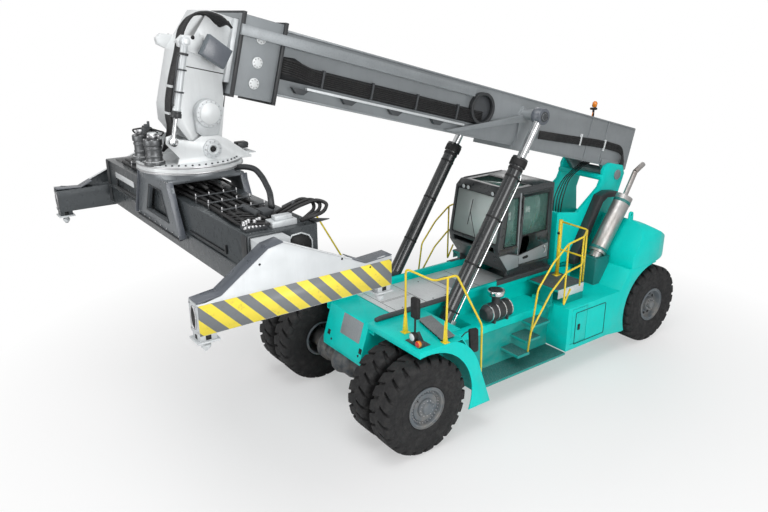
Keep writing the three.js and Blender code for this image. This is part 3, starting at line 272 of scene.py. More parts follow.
class Nodes(Tree):
    """A new material's tree, drawn over the piece's own coordinates."""

    def __init__(self, name):
        self.look = bpy.data.materials.new(name)
        super().__init__(self.look)
        self.shader = self.tree.nodes["Principled BSDF"]
        self.place = self.make("ShaderNodeTexCoord").outputs["Object"]

    def drive(self, name, value):
        """Links a value to the shader's input, or sets the input to a number."""
        if isinstance(value, (int, float)):
            self.shader.inputs[name].default_value = value
        else:
            self.link(value, self.shader.inputs[name])

    def noise(self, scale, detail, rough=0.55, stretch=None):
        texture = self.make("ShaderNodeTexNoise")
        texture.inputs["Scale"].default_value = scale
        texture.inputs["Detail"].default_value = detail
        texture.inputs["Roughness"].default_value = rough
        source = self.place
        if stretch:
            mapping = self.make("ShaderNodeMapping")
            mapping.inputs["Scale"].default_value = stretch
            self.link(self.place, mapping.inputs["Vector"])
            source = mapping.outputs["Vector"]
        self.link(source, texture.inputs["Vector"])
        return texture.outputs["Fac"]

    def mix(self, factor, first, second):
        node = self.make("ShaderNodeMix", data_type="RGBA")
        self.link(factor, node.inputs["Factor"])
        for socket, value in ((node.inputs[6], first), (node.inputs[7], second)):
            if isinstance(value, tuple):
                socket.default_value = (*value, 1.0)
            else:
                self.link(value, socket)
        return node.outputs[2]

    def axis(self, name):
        split = self.make("ShaderNodeSeparateXYZ")
        self.link(self.place, split.inputs["Vector"])
        return split.outputs[name]

    def bump(self, height, strength, distance):
        node = self.make("ShaderNodeBump")
        node.inputs["Strength"].default_value = strength
        node.inputs["Distance"].default_value = distance
        self.link(height, node.inputs["Height"])
        self.link(node.outputs["Normal"], self.shader.inputs["Normal"])

    def edges(self):
        """Close to 1 along worn outer edges."""
        worn = self.make("ShaderNodeNewGeometry").outputs["Pointiness"]
        return self.ramp(worn, 0.54, 0.62)

    def done(self, slot):
        return {"look": self.look, "slot": slot}


def srgb(code):
    """A colour written as hexadecimal, in linear light."""
    parts = [int(code[i:i + 2], 16) / 255 for i in (0, 2, 4)]
    return tuple(p / 12.92 if p <= 0.04045 else ((p + 0.055) / 1.055) ** 2.4 for p in parts)


def shade(colour, factor):
    return tuple(min(1.0, channel * factor) for channel in colour)


def paint(name, slot, colour, rough, dust=0.16, chips=0.35, metal=0.0, coat=0.25, shine=0.5):
    """Sprayed paint: slight mottling, orange peel, dust low down, chips and rubs on the edges."""
    n = Nodes(name)
    mottled = n.mix(n.ramp(n.noise(1.7, 5), 0.35, 0.7), shade(colour, 0.93), shade(colour, 1.06))
    streaks = n.ramp(n.noise(3.0, 6, 0.6, (5.0, 5.0, 0.6)), 0.52, 0.78, 0.0, 0.22)
    stained = n.mix(streaks, mottled, shade(colour, 0.72))
    low = n.ramp(n.axis("Z"), 1.6, 0.1)
    dusty = n.maths("MULTIPLY", n.maths("MULTIPLY", low, n.ramp(n.noise(6.0, 6), 0.4, 0.75)), dust * 2.2)
    dusted = n.mix(dusty, stained, (0.33, 0.30, 0.26))
    chipped = n.maths("MULTIPLY", n.edges(), n.ramp(n.noise(38.0, 5, 0.7), 0.50, 0.60, 0.0, chips))
    n.drive("Base Color", n.mix(chipped, dusted, shade(colour, 0.35)))
    gloss = n.maths("ADD", n.ramp(n.noise(9.0, 6), 0.3, 0.75, rough - 0.06, rough + 0.12),
                    n.maths("MULTIPLY", dusty, 0.5))
    n.drive("Roughness", gloss)
    n.drive("Metallic", metal)
    n.drive("Specular IOR Level", shine)
    n.drive("Coat Weight", coat)
    n.drive("Coat Roughness", 0.22)
    n.bump(n.maths("ADD", n.noise(140.0, 2), n.maths("MULTIPLY", n.noise(3.2, 2), 4.0)), 0.035, 0.004)
    return n.done(slot)


def metal(name, slot, colour, rough, grain=(1.0, 1.0, 1.0), heat=0.0, metallic=1.0):
    """Bare metal with fine turning or rolling marks, smears and, where asked, heat stains."""
    n = Nodes(name)
    marks = n.noise(260.0, 3, 0.5, grain)
    base = n.mix(n.ramp(n.noise(4.0, 6), 0.35, 0.7), shade(colour, 0.82), colour)
    if heat:
        base = n.mix(n.ramp(n.noise(1.6, 5), 0.42, 0.72, 0.0, heat), base, (0.20, 0.13, 0.09))
    n.drive("Base Color", base)
    n.drive("Metallic", metallic)
    n.drive("Roughness", n.ramp(n.noise(11.0, 5), 0.3, 0.75, rough - 0.05, rough + 0.15))
    n.bump(marks, 0.05, 0.001)
    return n.done(slot)


def rubber(name, slot, colour, scuff, rough=0.72):
    """Rubber with a fine grain and pale scuffs and dust in patches."""
    n = Nodes(name)
    patches = n.ramp(n.noise(7.0, 7, 0.65), 0.48, 0.75, 0.0, scuff)
    tone = n.mix(n.ramp(n.noise(45.0, 4), 0.35, 0.65), shade(colour, 0.8), shade(colour, 1.25))
    n.drive("Base Color", n.mix(patches, tone, (0.11, 0.105, 0.10)))
    n.drive("Roughness", n.ramp(n.noise(16.0, 4), 0.3, 0.7, rough - 0.1, rough + 0.12))
    n.drive("Specular IOR Level", 0.4)
    n.bump(n.noise(170.0, 3), 0.25, 0.0015)
    return n.done(slot)


TURQUOISE = paint("turquoise_paint", "turquoise_paint", srgb("00D6CC"), 0.36, 0.04, 0.25, coat=0.04,
                  shine=0.22)
TURQUOISE_WORN = paint("turquoise_paint_walked", "turquoise_paint", srgb("0A9D95"), 0.45, 0.12, 0.5,
                       shine=0.25)
BOOM_GREY = paint("boom_grey_paint", "grey_paint", srgb("8B9093"), 0.34, metal=0.2, coat=0.2)
LIGHT = paint("light_grey_paint", "light_paint", srgb("CBCFD1"), 0.34, metal=0.15, coat=0.15)
PALE = paint("pale_grey_paint", "light_paint", srgb("DCDFE0"), 0.34, metal=0.1, coat=0.15)
DARK = paint("dark_paint", "dark_paint", srgb("2B2D2F"), 0.45, 0.35, 0.5, coat=0.1)
CHARCOAL = paint("charcoal_paint", "dark_paint", srgb("3E4144"), 0.5, 0.3, 0.5, coat=0.05)
CAB_GREY = paint("cab_grey_paint", "grey_paint", srgb("8E9497"), 0.34, coat=0.3)
RIM_GREY = paint("rim_grey_paint", "grey_paint", srgb("5E666C"), 0.5, 0.45, 0.5, coat=0.05)
YELLOW = paint("yellow_paint", "yellow_paint", srgb("F0D22C"), 0.4, 0.25, 0.6)
AXLE = paint("axle_paint", "axle_iron", srgb("43494E"), 0.55, 0.5, 0.5, coat=0.0)
SLATE = paint("slate_grey_paint", "grey_paint", srgb("5B6068"), 0.3, coat=0.4)
BEAM_GREY = paint("beam_grey_paint", "light_paint", srgb("42474A"), 0.28, metal=0.3, coat=0.35)
FRAME_GREY = paint("frame_grey_paint", "light_paint", srgb("6E7377"), 0.30, metal=0.3, coat=0.3)
GLOSS_BLACK = paint("gloss_black_paint", "dark_paint", srgb("242628"), 0.22, 0.2, 0.4, coat=0.6)
CAB_DARK = paint("cab_dark_paint", "dark_paint", srgb("35393B"), 0.3, 0.1, 0.2, coat=0.4)
GUNMETAL = metal("gunmetal_casting", "axle_iron", (0.16, 0.165, 0.17), 0.36, metallic=0.9)
CHROME = metal("rod_chrome", "rod_chrome", (0.78, 0.79, 0.80), 0.12, (1.0, 1.0, 0.05))
STEEL = metal("bright_steel", "muffler_steel", (0.55, 0.55, 0.56), 0.32)
MUFFLER = metal("muffler_steel", "muffler_steel", (0.50, 0.49, 0.48), 0.38, (1.0, 1.0, 0.2), 0.55, 0.85)
TYRE = rubber("tyre_rubber", "tyre_rubber", srgb("1C1C1D"), 0.22)
HOSE = rubber("hose_rubber", "dark_paint", srgb("1D1D1E"), 0.12, 0.5)
# Black rubber for seals and small black parts; the same black also fills holes and openings as painted shade
# of their insides.
SEAL_AND_HOLE_SHADE = rubber("seal_rubber_and_hole_shade", "seat_plastic", srgb("161617"), 0.1, 0.6)


def chequer(name, slot, colour):
    """Pressed floor plate with raised diamonds."""
    n = Nodes(name)
    x, y = n.axis("X"), n.axis("Y")
    first = n.maths("SINE", n.maths("MULTIPLY", n.maths("ADD", x, y), 95.0), 0)
    second = n.maths("SINE", n.maths("MULTIPLY", n.maths("SUBTRACT", x, y), 95.0), 0)
    raised = n.ramp(n.maths("MULTIPLY", first, second), 0.15, 0.6)
    worn = n.ramp(n.noise(4.0, 6), 0.42, 0.7, 0.0, 0.55)
    plate = n.mix(worn, colour, shade(colour, 0.62))
    n.drive("Base Color", n.mix(n.maths("MULTIPLY", raised, 0.5), plate, (0.42, 0.43, 0.43)))
    n.drive("Roughness", n.ramp(n.noise(12.0, 5), 0.3, 0.7, 0.38, 0.62))
    n.drive("Metallic", 0.3)
    n.bump(raised, 0.5, 0.003)
    return n.done(slot)


def striped(name, slot, first, second, pitch, lean, start):
    """Painted warning stripes that lean along X as they rise."""
    n = Nodes(name)
    across = n.maths("SUBTRACT", n.maths("ADD", n.axis("X"), start), n.maths("MULTIPLY", n.axis("Z"), lean))
    band = n.maths("FRACT", n.maths("DIVIDE", across, pitch), 0)
    choice = n.maths("GREATER_THAN", band, 0.5)
    worn = n.ramp(n.noise(14.0, 7, 0.7), 0.56, 0.7, 0.0, 0.35)
    painted = n.mix(choice, first, second)
    n.drive("Base Color", n.mix(worn, painted, (0.16, 0.15, 0.13)))
    n.drive("Roughness", n.ramp(n.noise(10.0, 5), 0.3, 0.7, 0.34, 0.52))
    n.bump(n.noise(150.0, 2), 0.03, 0.003)
    return n.done(slot)


def glazing(name, slot, colour, clear):
    """Tinted safety glass with a film of dust."""
    n = Nodes(name)
    film = n.ramp(n.noise(3.0, 7, 0.6), 0.45, 0.8, 0.0, 0.3)
    n.drive("Base Color", n.mix(film, colour, (0.62, 0.65, 0.64)))
    n.drive("Roughness", n.ramp(n.noise(8.0, 5), 0.4, 0.8, 0.03, 0.12))
    n.drive("Transmission Weight", clear)
    n.drive("IOR", 1.45)
    n.bump(n.noise(2.0, 2), 0.02, 0.01)
    return n.done(slot)


def cloth(name, slot, colour):
    """Woven seat cover."""
    n = Nodes(name)
    warp = n.maths("SINE", n.maths("MULTIPLY", n.axis("Y"), 1900.0), 0)
    weft = n.maths("SINE", n.maths("MULTIPLY", n.axis("X"), 1900.0), 0)
    weave = n.maths("MULTIPLY", warp, weft)
    faded = n.mix(n.ramp(n.noise(9.0, 6), 0.35, 0.7), shade(colour, 0.8), shade(colour, 1.3))
    n.drive("Base Color", n.mix(n.ramp(weave, -1.0, 1.0, 0.0, 0.4), faded, shade(colour, 0.5)))
    n.drive("Roughness", n.ramp(n.noise(20.0, 4), 0.3, 0.7, 0.8, 0.95))
    n.drive("Sheen Weight", 0.3)
    n.bump(weave, 0.3, 0.0008)
    return n.done(slot)


def lens(name, slot, colour):
    """Moulded lamp lens with fine ribs."""
    n = Nodes(name)
    ribs = n.maths("SINE", n.maths("MULTIPLY", n.axis("Z"), 700.0), 0)
    n.drive("Base Color", n.mix(n.ramp(n.noise(12.0, 4), 0.3, 0.7), shade(colour, 0.85), colour))
    n.drive("Roughness", n.ramp(n.noise(14.0, 3), 0.3, 0.7, 0.12, 0.22))
    n.drive("Coat Weight", 0.6)
    n.bump(ribs, 0.15, 0.001)
    return n.done(slot)


PLATE = chequer("chequer_plate", "light_paint", srgb("7C8284"))
DECK = chequer("deck_plate", "turquoise_paint", srgb("0C6F6C"))
STRIPES = striped("warning_stripes", "yellow_paint", srgb("F5E04A"), srgb("777B7E"), 0.283, 0.95, 0.042)
SCREEN = glazing("windscreen_glass", "seat_plastic", (0.80, 0.88, 0.86), 0.45)
CLOTH = cloth("seat_cloth", "seat_fabric", srgb("2E3032"))
PLASTIC = rubber("cab_plastic", "seat_plastic", srgb("2A2B2C"), 0.12, 0.55)
AMBER = lens("amber_lens", "lamp_plastic", srgb("F08A10"))
RED = lens("red_lens", "lamp_plastic", srgb("D21C16"))
LAMP = lens("clear_lens", "lamp_plastic", srgb("DDE2E4"))

# ---------------------------------------------------------------- camera, light and floor
# Stations along X are counted from the front axle.
AXLE_X = sum(corner[0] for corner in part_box("front_rim_left")) / 2
TYRE_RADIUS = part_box("front_outer_tyre_left")[1][2] / 2


def at(x, y, z):
    """A point given from the front axle, in the frame's own coordinates."""
    return Vector((x + AXLE_X, y, z))


# The camera: where it stands, how it is turned, and its lens in mm on a 36 mm sensor.
EYE = at(6.242, 9.431, 6.736)
YAW = math.radians(233.692)
PITCH = math.radians(-19.329)
ROLL = math.radians(-0.127)
LENS = 33.06


def make_camera():
    data = bpy.data.cameras.new("camera")
    data.lens = LENS
    data.sensor_width = 36
    data.clip_end = 300
    view = Vector((math.cos(YAW) * math.cos(PITCH), math.sin(YAW) * math.cos(PITCH), math.sin(PITCH)))
    right = view.cross(Vector((0, 0, 1))).normalized()
    up = right.cross(view)
    tilted_right = right * math.cos(ROLL) + up * math.sin(ROLL)
    tilted_up = up * math.cos(ROLL) - right * math.sin(ROLL)
    camera = bpy.data.objects.new("camera", data)
    turn = Matrix((tilted_right, tilted_up, -view)).transposed().to_4x4()
    camera.matrix_world = Matrix.Translation(EYE) @ turn
    bpy.context.scene.collection.objects.link(camera)
    bpy.context.scene.camera = camera


def make_lamp(name, place, aim, size, watts):
    data = bpy.data.lights.new(name, "AREA")
    data.shape = "SQUARE"
    data.size = size
    data.energy = watts
    lamp = bpy.data.objects.new(name, data)
    lamp.location = place
    lamp.rotation_euler = (Vector(aim) - Vector(place)).to_track_quat("-Z", "Y").to_euler()
    bpy.context.scene.collection.objects.link(lamp)


def make_studio():
    make_lamp("key", (6.0, 4.0, 17.0), (0, 0, 1), 11.0, 1250)
    make_lamp("side", (3.0, 17.0, 7.0), (0, 0, 2.5), 9.0, 1250)
    make_lamp("front", (17.0, 1.0, 6.0), (0, 0, 3), 8.0, 600)
    make_lamp("back", (-14.0, -8.0, 10.0), (0, 0, 2), 9.0, 300)
    world = bpy.data.worlds.new("studio")
    bpy.context.scene.world = world
    n = Tree(world)
    background = n.tree.nodes["Background"]
    background.inputs["Color"].default_value = (1, 1, 1, 1)
    # full strength for the camera and through glass, half in reflections, dim as light
    rays = n.make("ShaderNodeLightPath").outputs
    seen = n.maths("MAXIMUM", rays["Is Camera Ray"], rays["Is Transmission Ray"])
    seen = n.maths("MAXIMUM", seen, n.maths("MULTIPLY", rays["Is Glossy Ray"], 0.5))
    n.link(n.ramp(seen, 0.0, 1.0, 0.34, 1.0), background.inputs["Strength"])


def make_floor():
    mesh = bmesh.new()
    bmesh.ops.create_grid(mesh, x_segments=2, y_segments=2, size=120)
    data = bpy.data.meshes.new("floor")
    mesh.to_mesh(data)
    mesh.free()
    floor = bpy.data.objects.new("floor", data)
    bpy.context.scene.collection.objects.link(floor)
    n = Nodes("studio_floor")
    n.shader.inputs["Base Color"].default_value = (0.90, 0.90, 0.905, 1)
    n.drive("Roughness", 0.8)
    n.drive("Specular IOR Level", 0.1)
    rays = n.make("ShaderNodeLightPath")
    glow = n.make("ShaderNodeEmission")
    away = n.make("ShaderNodeVectorMath", operation="LENGTH")
    n.link(n.place, away.inputs[0])
    far = n.ramp(away.outputs["Value"], 4.0, 9.0, 0.40, 1.0)
    mixed = n.make("ShaderNodeMixShader")
    n.link(n.maths("MULTIPLY", rays.outputs["Is Camera Ray"], far), mixed.inputs["Fac"])
    n.link(n.shader.outputs["BSDF"], mixed.inputs[1])
    n.link(glow.outputs["Emission"], mixed.inputs[2])
    n.link(mixed.outputs["Shader"], n.tree.nodes["Material Output"].inputs["Surface"])
    data.materials.append(n.look)


make_camera()
make_studio()
make_floor()
bpy.context.scene.view_settings.view_transform = "Standard"

# ---------------------------------------------------------------- carried-over shapes
BODY_OF = {node: body for body, nodes in frame["record"]["behaviour"]["bodies"].items() for node in nodes}
FINISHES = {
    "main_frame": TURQUOISE, "boom_tower": TURQUOISE, "counterweight": TURQUOISE, "deck_plates": PALE,
    "front_fender": TURQUOISE, "side_box": TURQUOISE, "box_hatch": TURQUOISE, "walkway": TURQUOISE_WORN,
    "air_cleaner": DARK, "exhaust": MUFFLER, "intake_duct": DARK, "engine_block": AXLE, "drive_axle": AXLE,
    "rear_axle": AXLE, "knuckle": AXLE, "outer_boom": BOOM_GREY, "inner_boom": LIGHT, "boom_head": PALE,
    "yoke": PALE, "slew_frame": FRAME_GREY, "spreader_beam": BEAM_GREY, "spreader_end": LIGHT,
    "spreader_end_right": BEAM_GREY, "lift_barrel": GLOSS_BLACK, "lift_rod": CHROME, "damper_barrel": LIGHT,
    "damper_rod": CHROME, "cab_shell": CAB_DARK, "cab_door": CAB_DARK, "driver_seat": PLASTIC,
    "steering_column": PLASTIC, "beacon": AMBER, "front_rim": RIM_GREY, "rear_rim": RIM_GREY,
}
SHARP_EDGED = {"beacon", "steering_column", "front_handrail", "rear_handrail", "drive_axle"}


def family(node):
    for side in SIDES:
        if node.endswith("_" + side):
            return node[:-len(side) - 1]
    return node


for node in sorted(frame["nodes"]):
    kind = family(node)
    finish = FINISHES.get(node, FINISHES.get(kind))
    if finish:
        dressed(node, BODY_OF[node], finish, 0.0 if kind in SHARP_EDGED else 0.006)

# ---------------------------------------------------------------- wheels
LUGS = 22
LUG_DEPTH = 0.052


def polar(centre, radius, turn, y):
    return centre + Vector((radius * math.sin(turn), y, radius * math.cos(turn)))


def lug(shape, centre, side, turn):
    """One tread lug: from the middle of the tread over the shoulder and down the wall."""
    pitch = 2 * PI / LUGS
    stations = [(-0.035, 0.0, 0.60), (0.03, 0.0, 0.80), (0.12, 0.0, 0.78), (0.175, 0.002, 0.72),
                (0.208, 0.018, 0.68), (0.229, 0.066, 0.66), (0.2345, 0.118, 0.60)]
    rings = []
    for y, drop, share in stations:
        half = pitch * share / 2
        skew = pitch * 0.35 * (y - 0.1) / 0.2
        top = TYRE_RADIUS - drop
        base = top - LUG_DEPTH + drop * 0.15
        ring = [polar(centre, top, turn + skew - half, side * y), polar(centre, top, turn + skew, side * y),
                polar(centre, top, turn + skew + half, side * y),
                polar(centre, base, turn + skew + half * 1.12, side * y * 0.97),
                polar(centre, base, turn + skew - half * 1.12, side * y * 0.97)]
        rings.append(shape.ring(ring))
    shape.skin(rings)


def make_tyre(node):
    low, high = corners(node)
    centre = (low + high) / 2
    half = (high.y - low.y) / 2
    wall = [(0.345, 0.83), (0.375, 0.93), (0.43, 0.955), (0.445, 0.985), (0.60, 0.995), (0.68, 0.98),
            (0.735, 0.93), (0.768, 0.80), (0.776, 0.40)]
    shape = Shape()
    outline = [(r, half * share) for r, share in wall]
    outline += [(r, -half * share) for r, share in reversed(wall)]
    shape.lathe(outline + outline[:1], centre, "y", 88)
    turn_of = random.random()
    for side in BOTH:
        for k in range(LUGS):
            lug(shape, centre, side, 2 * PI * (k + turn_of + (0.5 if side > 0 else 0)) / LUGS)
    for radius, y in ((0.50, 0.992), (0.655, 0.985)):
        for side in BOTH:
            bead = [(radius - 0.006, half * y * side), (radius, half * side),
                    (radius + 0.006, half * y * side)]
            shape.lathe(bead + bead[:1], centre, "y", 72)
    piece(node + "_tread", shape, BODY_OF[node], TYRE, 0.004, 38, (node,))


def circle(centre, radius, count, y):
    return [polar(centre, radius, a, y) for a in turns(count)]


LOCK_RING = [(0.338, 0.012), (0.352, 0.008), (0.356, -0.004), (0.350, -0.018), (0.336, -0.018)]
HUBS = {
    "front": [(0.0, 0.045), (0.085, 0.043), (0.10, 0.03), (0.105, 0.0), (0.150, -0.004), (0.158, -0.02),
              (0.158, -0.045), (0.0, -0.045)],
    "rear": [(0.0, 0.03), (0.07, 0.028), (0.082, 0.012), (0.086, -0.03), (0.0, -0.03)],
}


class Rim:
    """One wheel's rim: its centre, its outer face and its body."""

    def __init__(self, end, side, way):
        low, high = corners(end + "_rim_" + side)
        self.end, self.side, self.way = end, side, way
        self.centre = (low + high) / 2
        self.body = BODY_OF[end + "_rim_" + side]
        self.face = high.y if way > 0 else -low.y
        self.out = Vector((0, way, 0))

    def past(self, depth):
        """Distance from the rim's middle to a plane this far outside its face."""
        return self.way * (self.face + depth) - self.centre.y

    def nuts(self, shape, radius, count, depth, size, height):
        shape.bolts(circle(self.centre, radius, count, self.past(depth)), self.out, size, height)

    def add(self, name, shape, *look):
        piece(self.end + name + self.side, shape, self.body, *look)

    def make_hub(self, sides):
        shape = Shape()
        for profile, count in ((LOCK_RING + LOCK_RING[:1], 64), (HUBS[self.end], sides)):
            shape.lathe([(r, self.past(y)) for r, y in profile], self.centre, "y", count)
        self.add("_hub_", shape, RIM_GREY, 0.002)


def make_front_rim(side, way):
    rim = Rim("front", side, way)
    rim.make_hub(40)
    nuts = Shape()
    rim.nuts(nuts, 0.264, 30, -0.067, 0.0125, 0.022)
    rim.nuts(nuts, 0.264, 30, -0.067, 0.0065, 0.036)
    rim.nuts(nuts, 0.131, 12, -0.006, 0.009, 0.014)
    rim.add("_wheel_nuts_", nuts, STEEL, 0.001)
    valve = Shape()
    start = polar(rim.centre, 0.225, 0.8, rim.past(-0.04))
    valve.tube([start, start + rim.out * 0.02, start + rim.out * 0.035 + Vector((0.03, 0, 0.04))], 0.006, 8)
    rim.add("_valve_", valve, SEAL_AND_HOLE_SHADE)


def make_rear_rim(side, way):
    rim = Rim("rear", side, way)
    rim.make_hub(32)
    # The rim's openings are flat black sheets: painted shade of the space behind them.
    holes, lips = several(2, Shape)
    for turn in [2 * PI * (k + 0.5) / 10 for k in range(10)]:
        middle = polar(rim.centre, 0.216, turn, rim.past(-0.108))
        along = Vector((math.cos(turn), 0, -math.sin(turn)))
        across = Vector((math.sin(turn), 0, math.cos(turn)))
        oval = [middle + along * math.cos(a) * 0.036 + across * math.sin(a) * 0.027 for a in turns(20)]
        holes.skin([holes.ring(oval), holes.ring([p + rim.out * 0.003 for p in oval])])
        lip = [middle + (p - middle) * 1.16 for p in oval]
        lips.tube([p + rim.out * 0.003 for p in lip + lip[:2]], 0.004, 6)
    rim.add("_rim_openings_", holes, SEAL_AND_HOLE_SHADE)
    rim.add("_rim_lips_", lips, RIM_GREY)
    nuts = Shape()
    rim.nuts(nuts, 0.118, 12, -0.029, 0.011, 0.022)
    rim.add("_wheel_nuts_", nuts, STEEL, 0.001)


for node in sorted(frame["nodes"]):
    if "_tyre_" in node:
        make_tyre(node)
for side, way in SIDES.items():
    make_front_rim(side, way)
    make_rear_rim(side, way)

# ---------------------------------------------------------------- helpers for the pieces
def site():
    """A Shape whose X stations are counted from the front axle."""
    return Shape(Matrix.Translation((AXLE_X, 0, 0)))


def rounded(points, radius, steps=4):
    """The same path with its corners eased."""
    points = [Vector(p) for p in points]
    path = [points[0]]
    for before, corner, after in zip(points, points[1:], points[2:]):
        into = corner - before
        out = after - corner
        reach = min(radius, into.length * 0.45, out.length * 0.45)
        first = corner - into.normalized() * reach
        last = corner + out.normalized() * reach
        for i in range(steps + 1):
            t = i / steps
            path.append(first * (1 - t) ** 2 + corner * 2 * t * (1 - t) + last * t ** 2)
    return path + [points[-1]]


def disc_bolts(shape, centre, radius, count, direction, size, height, axis="y"):
    """A circle of bolts on a face across Y or Z."""
    for k in range(count):
        a = 2 * PI * (k + 0.5) / count
        offset = {"y": (radius * math.sin(a), 0, radius * math.cos(a)),
                  "z": (radius * math.cos(a), radius * math.sin(a), 0)}[axis]
        shape.bolts([Vector(centre) + Vector(offset)], direction, size, height)


# ---------------------------------------------------------------- boom
JOINTS = {joint["name"]: joint for joint in frame["record"]["behaviour"]["joints"]}
PIVOT = Vector(JOINTS["boom_lift"]["pos_m"])
OUT_AXIS = Vector(JOINTS["boom_extend"]["axis"])
BOOM_ANGLE = math.atan2(-OUT_AXIS.z, -OUT_AXIS.x)
# Along the boom: x forwards from the pivot, z square to it.
BOOM = Matrix.Translation(PIVOT) @ Matrix.Rotation(-BOOM_ANGLE, 4, "Y")
BOOM_SIDE = 0.45
BOOM_TOP = 1.02
BOOM_BOTTOM = 0.134
COLLAR_REAR = 8.25
COLLAR_FRONT = 8.90
DRUM = (4.25, 0.64)    # hose drum, along and up


def boom_shape():
    """A Shape drawn in the boom's own frame."""
    return Shape(BOOM.copy())


def make_boom_sides():
    seams = boom_shape()
    for way in BOTH:
        y = BOOM_SIDE * way
        for low, high in ((BOOM_TOP - 0.022, BOOM_TOP + 0.004), (BOOM_BOTTOM - 0.004, BOOM_BOTTOM + 0.02)):
            seams.block(-0.36, COLLAR_REAR, y, y + way * 0.018, low, high)
        for u in (0.55, 1.1):
            seams.block(u, u + 0.02, y, y + way * 0.012, BOOM_BOTTOM, BOOM_TOP)
    seams.block(0.2, 8.2, -0.012, 0.012, BOOM_TOP, BOOM_TOP + 0.008)
    piece("boom_weld_flanges", seams, "boom", BOOM_GREY, 0.002)

    collar = boom_shape()
    for u in (COLLAR_REAR - 0.03, COLLAR_FRONT - 0.05):
        for way in BOTH:
            collar.block(u, u + 0.05, way * 0.505, way * 0.55, 0.01, BOOM_TOP + 0.06)
        collar.block(u, u + 0.05, -0.55, 0.55, BOOM_TOP + 0.05, BOOM_TOP + 0.085)
        collar.block(u, u + 0.05, -0.55, 0.55, -0.012, 0.025)
    piece("boom_collar_ribs", collar, "boom", DARK, 0.004)

    pads, bolts = several(2, boom_shape)
    for way in BOTH:
        y = way * 0.511
        for w in (0.22, 0.50, 0.82):
            middle = Vector((COLLAR_REAR + 0.33, y, w))
            pads.rod(middle, middle + Vector((0, way * 0.02, 0)), 0.075, 24)
            spots = [middle + Vector((0.055 * math.cos(a), way * 0.02, 0.055 * math.sin(a)))
                     for a in turns(8)]
            bolts.bolts(spots, (0, way, 0), 0.009, 0.012)
    piece("boom_pad_covers", pads, "boom", PALE, 0.003)
    piece("boom_pad_bolts", bolts, "boom", STEEL)


def make_boom_hoses():
    u0, w0 = DRUM
    # Dark plates behind the hose bundles on the boom sides: painted shade of the recess behind the hoses.
    plate = boom_shape()
    for way in BOTH:
        outline = [(COLLAR_REAR - 0.02, 0.36), (COLLAR_REAR - 0.02, 0.66), (8.0, 0.68), (7.75, 0.60),
                   (u0, 0.60), (u0, 0.36)]
        plate.prism(outline, "xz", way * BOOM_SIDE, way * (BOOM_SIDE + 0.008))
    piece("hose_recess_shade_plates", plate, "boom", DARK)

    drum, disc = several(2, boom_shape)
    for way in BOTH:
        y = way * (BOOM_SIDE + 0.004)
        ring = [(0.275, 0.0), (0.275, 0.085 * way), (0.225, 0.085 * way), (0.225, 0.0)]
        drum.lathe(ring + ring[:1], (u0, y, w0), "y", 48)
        face = [(0.224, 0.0), (0.224, 0.012 * way), (0.10, 0.03 * way), (0.0, 0.03 * way), (0.0, 0.0)]
        disc.lathe(face, (u0, y, w0), "y", 48)
    piece("hose_drum_rims", drum, "boom", DARK, 0.004)
    piece("hose_drum_discs", disc, "boom", CHARCOAL, 0.003)

    hoses = boom_shape()
    for way in BOTH:
        for layer, lift in ((0, 0.024), (1, 0.05)):
            y = way * (BOOM_SIDE + lift)
            for k in range(8 - layer):
                w = 0.385 + 0.0275 * (k + layer / 2)
                rise = 0.05 + 0.02 * k / 8
                path = [(COLLAR_REAR - 0.01, y, w + rise), (8.05, y, w + rise), (7.9, y, w + rise * 0.75),
                        (7.75, y, w + rise * 0.25), (7.6, y, w), (6.6, y, w - 0.003), (5.4, y, w + 0.002),
                        (u0 + 0.1, y, w), (u0 - 0.04, y, w + 0.01)]
                hoses.tube(path, 0.0125, 8)
    piece("boom_side_hoses", hoses, "boom", HOSE)

    tray, clips = several(2, boom_shape)
    for way in BOTH:
        y = way * (BOOM_SIDE + 0.03)
        y0, y1 = way * (BOOM_SIDE + 0.002), way * (BOOM_SIDE + 0.075)
        tray.block(4.6, 7.75, y0, y1, 0.285, 0.322)
        for u in (7.85, 7.0, 6.1, 5.2):
            clips.prism([(u - 0.14, 0.285), (u + 0.14, 0.285), (u + 0.06, 0.21), (u - 0.06, 0.21)],
                        "xz", y0, y1)
        for u in (7.5, 6.6, 5.7, 4.8):
            clips.block(u, u + 0.03, y, y + way * 0.05, 0.36, 0.615)
    piece("hose_rails", tray, "boom", LIGHT, 0.003)
    piece("hose_clips", clips, "boom", CHARCOAL, 0.002)

    rear, ties = several(2, boom_shape)
    for k in range(7):
        w = 0.60 - 0.022 * k
        y = BOOM_SIDE + 0.02 + 0.006 * (k % 2)
        turn = 0.30 - 0.022 * (6 - k)
        path = [(2.6, y, w - 0.10), (1.8, y, w - 0.06), (1.0, y, w - 0.01), (0.45, y, w + 0.01), (0.15, y, w)]
        for a in [PI / 2 * i / 5 for i in range(6)]:
            path.append((0.10 - turn * math.sin(a), y + 0.05 * math.sin(a), w - turn + turn * math.cos(a)))
        last = Vector(path[-1])
        path += [last + Vector((-0.01, 0.0, -0.16)), last + Vector((0.02, -0.02, -0.36))]
        rear.tube(path, 0.0125, 8)
    for u in (1.35, 0.55):
        ties.block(u, u + 0.03, BOOM_SIDE + 0.004, BOOM_SIDE + 0.049, 0.41, 0.64)
    piece("boom_rear_hoses", rear, "boom", HOSE)
    piece("boom_rear_hose_ties", ties, "boom", PALE, 0.002)


